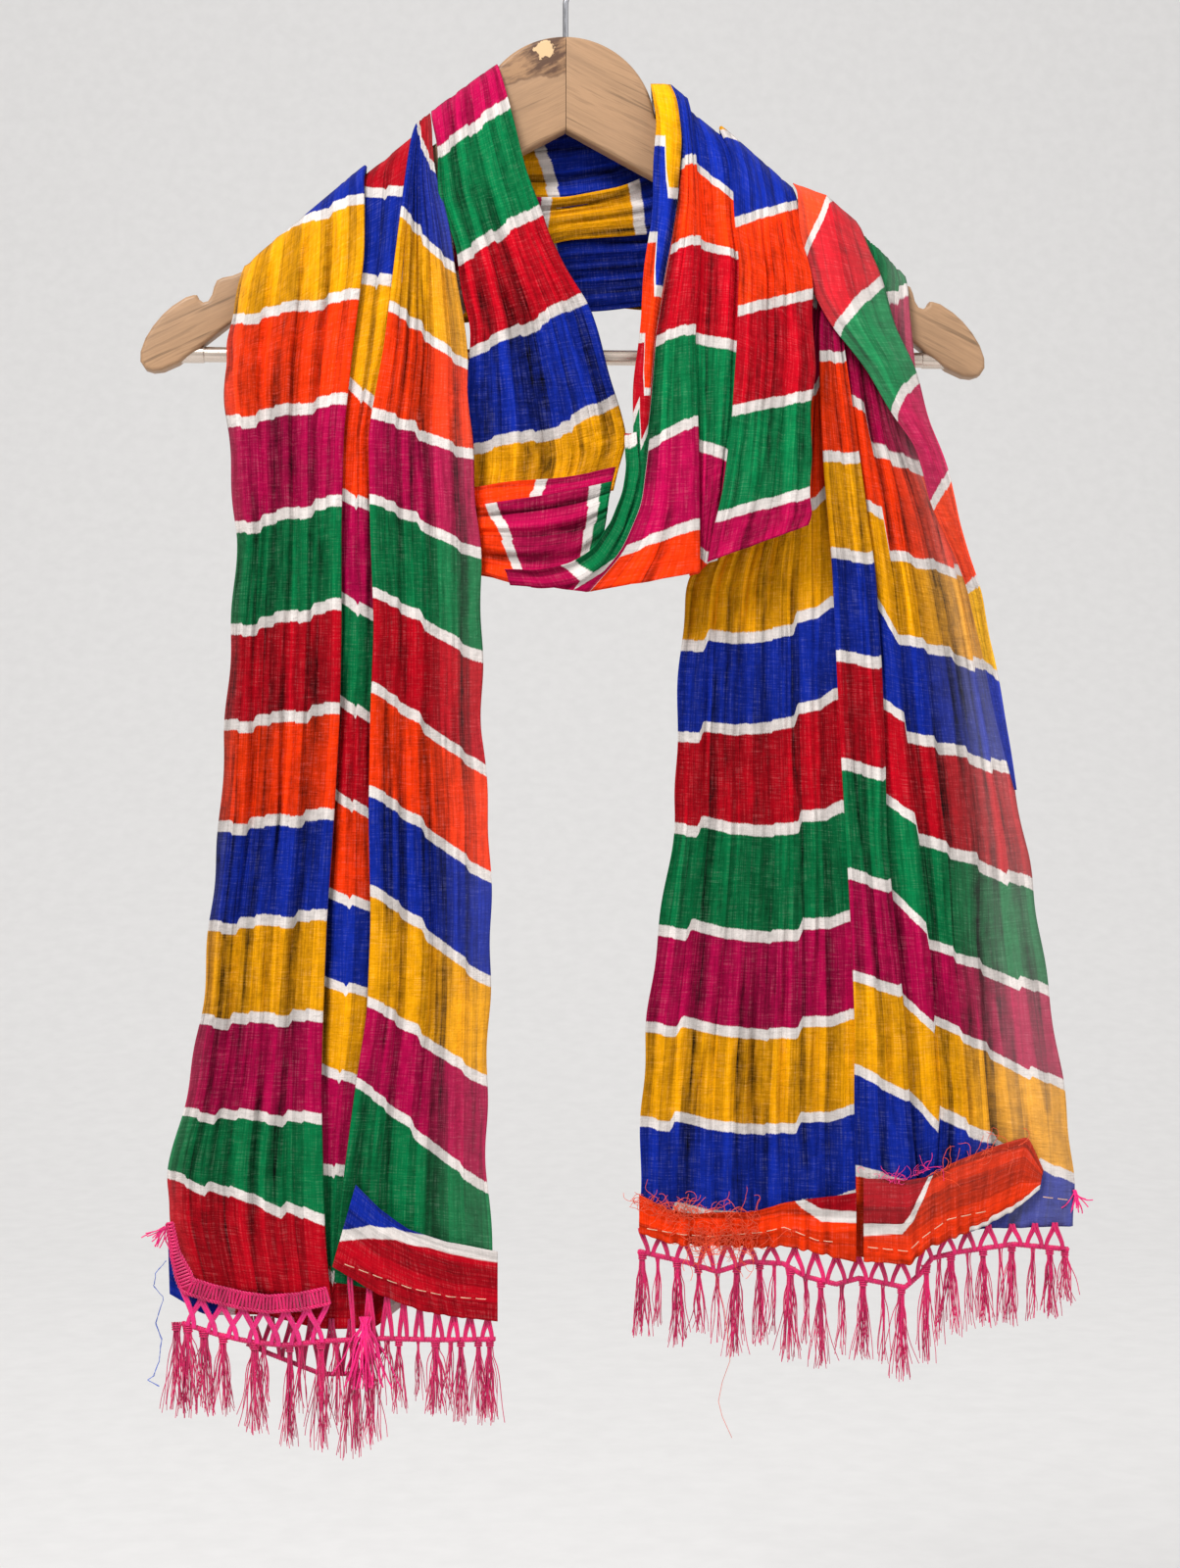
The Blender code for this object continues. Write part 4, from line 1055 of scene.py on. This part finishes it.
fringeRight = {
    "cord": [(37, -701), (62, -707), (78, -712), (94, -707), (112, -708), (124, -715),
             (140, -719), (152, -716), (176, -721), (184, -714), (190, -706), (203, -703),
             (233, -699), (262, -702)],
    "y": -23.0, "seed": 53,
    "tassels": [
        (39, -746, 6, 26), (47, -741, 4, 12), (57, -751, 6, 28), (68, -745, 5, 18),
        (78, -750, 4, 8), (88, -757, 6, 30), (100, -751, 5, 22), (108, -746, 4, 8),
        (116, -760, 6, 30), (124, -752, 4, 10), (132, -763, 6, 26), (143, -758, 4, 10),
        (154, -759, 6, 26),
        (164, -762, 4, 10), (174, -770, 6, 30), (187, -761, 6, 24), (194, -752, 4, 8),
        (200, -747, 6, 24), (209, -744, 4, 8), (217, -743, 6, 26), (226, -742, 4, 8),
        (232, -742, 6, 22), (243, -740, 4, 10), (252, -738, 6, 26), (260, -731, 5, 20)],
}
tapeLeft = {
    "route": [(-204, -684), (-201, -700), (-195, -716), (-183, -720), (-167, -724), (-154, -726),
              (-138, -725), (-123, -722)],
    "y": -25.0, "heights": ((0, 4.6), (0.13, 5.6), (0.26, 9.6), (1, 10.0)), "rib": 1.75,
}
hemEdges = {
    "tape": [(-204, -704), (-195, -721), (-183, -725), (-167, -728), (-138, -729), (-123, -726)],
    "left": [(-121, -708), (-97, -722), (-72, -730), (-36, -736)],
    "right": [(37, -690), (66, -696), (94, -697), (134, -703), (152, -705), (177, -707),
              (186, -697), (217, -690), (265, -689)],
    "back": [(-165, -735), (-95, -738)],
}
farCord = [(-165, -748), (-154, -753), (-127, -764), (-108, -764), (-95, -751)]


def makeFringe(name, node, fringe):
    rolls, y = random.Random(fringe["seed"]), fringe["y"]
    chains, wraps = [], []
    for x, bottom, width, threads in fringe["tassels"]:
        top = heightOn(fringe["cord"], x)
        chains += tassel(rolls, x, y + rolls.uniform(-0.5, 0.5), top + 0.6, bottom, width, threads)
        if threads >= 16:  # the turns that bind a full tassel
            around = [(x + (1.4 + 0.1 * width) * math.cos(a), y + 1.5 * math.sin(a))
                      for a in (math.tau * i / 10 for i in range(11))]
            wraps += [[(*spot, top - 1 - 1.1 * k) for spot in around] for k in range(3)]
    cords = twisted(fringe["cord"], y, *trimLook["cordTwist"])
    bm = bmesh.new()
    for part, routes, sides, tips in (("Threads", chains, 0, trimLook["tip"]),
                                      ("Cord", cords, 1, 1.0), ("Binding", wraps, 0, 1.0)):
        bm.from_mesh(tubeMesh(name + part, routes, trimLook["radius"][part], sides, tips))
    return place(addPiece(name, bm, pinkThread), node)


def makeTape():
    # ribbed woven tape: a band with a raised rib for every turn of its cord, and a looped edge
    route, y, rib = tapeLeft["route"], tapeLeft["y"], tapeLeft["rib"]
    total = routeReach(route)

    def halfAt(distance):
        return heightOn(tapeLeft["heights"], distance / total) / 2 - 0.9

    ribs, edges = [], []
    for i in range(int(total / rib) + 1):
        ribs.append([])
        for t in (-1.0, -0.5, 0.0, 0.5, 1.0):
            x, z = besideRoute(route, i * rib, halfAt(i * rib) * t, 0.5 * math.sin(i * 1.3) * t)
            ribs[-1].append((x, y - 0.75 + 0.35 * t * t, z))
    for side in (-1, 1):
        edges += twisted(route, y - 0.6, *trimLook["edgeTwist"], lambda at: side * halfAt(at))
    bm = bmesh.new()
    for part, routes in (("ribs", ribs), ("edges", edges)):
        bm.from_mesh(tubeMesh(part, routes, trimLook["radius"][part]))
    for vert in bmesh.ops.create_grid(bm, x_segments=60, y_segments=2, size=1.0)["verts"]:
        distance = total * (vert.co.x + 1) / 2
        x, z = besideRoute(route, distance, vert.co.y * halfAt(distance))
        vert.co = Vector((x, y + 0.1, z)) * mm
    return place(addPiece("ribbedTape", bm, pinkThread), "tape_left")


def archChains(rolls, top, cord, start, stop, pitch, y, splay):
    # doubled cords that part below the edge and meet their neighbours on the chain cord
    chains = []
    x = start
    while x < stop:
        for side in (-1, 1):
            if not start - 1 < x + side * splay < stop + 1:
                continue
            foot = x + side * splay + rolls.uniform(-0.7, 0.7)
            high, low = heightOn(top, x) + 1.5, heightOn(cord, foot)
            for gap in (-0.85, 0.85):
                chain = []
                for t in (k / 8 for k in range(9)):
                    bow = math.sin(t * math.pi / 2) ** 1.7
                    chain.append((x + (foot - x) * bow + gap * (1 - 0.6 * t), y - 0.7 * side * t,
                                  high + (low - high) * t))
                chains.append(chain)
        x += pitch * rolls.uniform(0.9, 1.1)
    return chains


def makeTrim(name, finish, chains):
    return place(addPiece(name, tubeMesh(name, chains, trimLook["radius"][name]), finish))


def wander(rolls, x, y, z, length, heading, curl, step=1.2):
    # one loose thread that curls as it goes
    chain = [(x, y, z)]
    turn = rolls.uniform(-curl, curl)
    start = heading
    for _ in range(max(3, int(length / step))):
        turn = (turn + rolls.uniform(-curl, curl) * 0.5) * 0.86
        heading = start + (heading + turn - start) * 0.94
        x += step * math.cos(heading)
        z += step * math.sin(heading)
        y += rolls.uniform(-0.25, 0.2)
        chain.append((x, y, z))
    return chain


looseLook = {  # the edges that frayed threads start from, and the threads that hang alone
    "hemTop": [(30, -669), (52, -678), (100, -679)],
    "flapTop": [(184, -662), (220, -648), (242, -644)],
    "foldTop": [(152, -656), (170, -664), (190, -655)],
    "drop": [(76, -30, -712), (81, -29, -730), (83, -28, -745), (84, -28, -757), (80, -28, -768),
             (78, -28, -778), (80, -28, -786), (85, -28, -797)],
    "blueDrop": [(-206.3, -704), (-211.6, -710.3), (-212.6, -716.7), (-207.6, -723),
                 (-211.6, -735.8), (-208.6, -744.1), (-209.6, -754.7), (-212.6, -763.2),
                 (-215.8, -765.2), (-209.6, -768.6)],
}


def makeLooseEnds():
    rolls = random.Random(71)
    roll = rolls.uniform
    frays, reds, blues = [], [], []
    for _ in range(110):  # the cut edge above the right hem, mostly at its left
        x = rolls.choice((roll(34, 72), roll(40, 98)))
        y = -28.6 - rolls.random()
        frays.append(wander(rolls, x, y, heightOn(looseLook["hemTop"], x) - roll(0, 5), roll(4, 16),
                            roll(0.2, 3.0), 0.9))
    for _ in range(90):  # a tangle that hangs over the hem
        frays.append(wander(rolls, roll(62, 96), -29.4 - rolls.random(), roll(-698, -686),
                            roll(10, 34), roll(-2.6, -0.5), 0.9))
    for _ in range(22):  # along the flap's upper edge
        x = roll(184, 240)
        frays.append(wander(rolls, x, -31.4, heightOn(looseLook["flapTop"], x) - 1, roll(6, 18),
                            roll(0.2, 2.9), 0.8))
    frays.append(looseLook["drop"])
    for _ in range(34):  # where the hem and the flap meet
        x = roll(152, 190)
        reds.append(wander(rolls, x, -31.8, heightOn(looseLook["foldTop"], x) - 2, roll(4, 12),
                           roll(0.4, 2.8), 1.0))
    drop = looseLook["blueDrop"]
    for strand in range(2):  # one thin thread that hangs in a few curls outside the tape
        smooth = []
        for i in range(46):
            at = i / 45 * (len(drop) - 1)
            near = min(len(drop) - 2, int(at))
            (x0, z0), (x1, z1), part = drop[near], drop[near + 1], ease(at - near)
            smooth.append((x0 + (x1 - x0) * part + roll(-0.3, 0.3), -21 - strand * 0.5,
                           z0 + (z1 - z0) * part))
        blues.append(smooth)
    tufts = []
    for x, spread, z, heading, count in ((-205, 2, -686, -2.3, 16), (265, 1, -671, -1.3, 12)):
        tufts += [wander(rolls, x + roll(-spread, spread), -23, z, roll(8, 14),
                         heading + roll(-0.4, 0.4), 0.2) for _ in range(count)]
    return [makeTrim(name, threadMaterial(name, dye), chains) for name, chains, dye in (
        ("orangeFray", frays, "fray"), ("redFray", reds, "brightTrim"),
        ("looseBlueThread", blues, "looseBlue"), ("pinkTufts", tufts, "brightTrim"))]


def makeStitches():
    # a running stitch: short dashes, each dipping into the cloth at its ends
    routes = (([(-115.5, -705), (-97.5, -712), (-81, -718), (-61, -722.6), (-37, -724.5)], -27.6),
              ([(40, -688), (60, -691.5), (75, -692.5), (101, -690.5), (112, -688), (129, -695),
                (140, -696)], -29.4),
              ([(154, -698), (176, -700.5), (184, -693), (197, -684), (222, -679)], -32.6),
              ([(247, -674), (263, -676)], -25.2))
    length, gap = trimLook["stitch"]
    chains = []
    for route, y in routes:
        distance = 1.0
        while distance + length < routeReach(route):
            dash = [alongRoute(route, distance + length * k / 4) for k in range(5)]
            chains.append([(x, y - 0.5 * math.sin(math.pi * k / 4), z)
                           for k, (x, z, _) in enumerate(dash)])
            distance += length + gap
    return makeTrim("runningStitches", threadMaterial("stitchThread", "stitch"), chains)


leftFringe = makeFringe("leftFringe", "fringe_left", fringeLeft)
rightFringe = makeFringe("rightFringe", "fringe_right", fringeRight)
ribbedTape = makeTape()
archRolls = random.Random(61)
leftCord, rightCord = fringeLeft["cord"], fringeRight["cord"]
pointedLoops = makeTrim(
    "pointedLoops", threadMaterial("archThread", "brightTrim", 0.85),
    archChains(archRolls, hemEdges["tape"], leftCord, start=-199, stop=-122, pitch=11, y=-23.6,
               splay=7.4))
hemLoops = makeTrim(
    "hemLoops", pinkThread,
    archChains(archRolls, hemEdges["left"], leftCord, start=-112, stop=-37, pitch=9, y=-23.0,
               splay=2.2)
    + archChains(archRolls, hemEdges["right"], rightCord, start=38, stop=265, pitch=11.5, y=-24.4,
                 splay=4.0))
farLoops = makeTrim(
    # the far cord's pink is painted darker, as painted shade behind the tail
    "farLoops", threadMaterial("shadedPinkThread", "shadedTrim"),
    twisted(farCord, -17.5, *trimLook["cordTwist"])
    + archChains(archRolls, hemEdges["back"], farCord, start=-162, stop=-98, pitch=10, y=-17.5,
                 splay=4.0))
brightTassel = makeTrim(
    "brightTassel", threadMaterial("lightPinkThread", "brightTrim"),
    tassel(random.Random(67), x=-104, y=-25.6, top=-733, bottom=-771, width=13, threads=34))
looseEnds = makeLooseEnds()
runningStitches = makeStitches()
print("trim: tape, loops, cords and tassels")

# The light, the floor and the camera.
stageLook = {
    "floorHeight": -1.25, "halfWidth": 16, "front": -16, "back": 3, "curve": 4, "key": 56.0,
    "fill": 15.0, "backdrop": 98.0, "world": 0.66, "lens": 58.9, "cameraTurn": -2.8,
    "cameraPlace": (-0.05307, -1.34902, -0.45896),
}


def makeStage():
    # a floor that curves up into a backdrop
    look = stageLook
    bm = bmesh.new()
    bmesh.ops.create_grid(bm, x_segments=1, y_segments=24, size=1.0)
    for vert in bm.verts:
        t = vert.co.y
        y, z = look["front"] + (look["back"] - look["front"]) * (t + 1), 0.0
        if t >= 0:
            y = look["back"] + look["curve"] * math.sin(t * math.pi / 2)
            z = look["curve"] * (1 - math.cos(t * math.pi / 2))
        vert.co = (vert.co.x * look["halfWidth"], y, look["floorHeight"] + z)
    addPiece("paleFloor", bm, plainFinish(
        "palePaper", {"Roughness": 0.9, "Specular IOR Level": 0.1}, (1, 1, 1), 30, 2,
        (1.0, 0.99, 0.985, 1), (0.765, 0.795)))


def areaLight(name, power, size, spot, aim):
    data = bpy.data.lights.new(name, "AREA")
    data.energy = power
    data.shape = "RECTANGLE"
    data.size, data.size_y = size
    lamp = bpy.data.objects.new(name, data)
    lamp.location = spot
    lamp.rotation_euler = (Vector(aim) - Vector(spot)).to_track_quat("-Z", "Y").to_euler()
    bpy.context.scene.collection.objects.link(lamp)


makeStage()
areaLight("keyLight", stageLook["key"], (0.7, 0.7), (-0.85, -1.5, 1.25), (0.08, 0, -0.22))
areaLight("fillLight", stageLook["fill"], (2.0, 2.0), (1.9, -1.6, 0.1), (0, 0, -0.4))
areaLight("backdropLight", stageLook["backdrop"], (6.0, 2.5), (0, 1.2, 3.6), (0, 6.0, 1.0))
scene = bpy.context.scene
world = bpy.data.worlds.new("softRoom")
world.use_nodes = True
world.node_tree.nodes["Background"].inputs[0].default_value = (1.0, 0.99, 0.98, 1)
world.node_tree.nodes["Background"].inputs[1].default_value = stageLook["world"]
scene.world = world
scene.view_settings.view_transform = "Standard"
cameraData = bpy.data.cameras.new("photoView")
cameraData.sensor_fit = "VERTICAL"
cameraData.sensor_height = 36.0
cameraData.lens = stageLook["lens"]
camera = bpy.data.objects.new("photoView", cameraData)
camera.location = stageLook["cameraPlace"]
camera.rotation_euler = (math.pi / 2, 0, math.radians(stageLook["cameraTurn"]))
scene.collection.objects.link(camera)
scene.camera = camera
print("stage: floor, lights and camera")
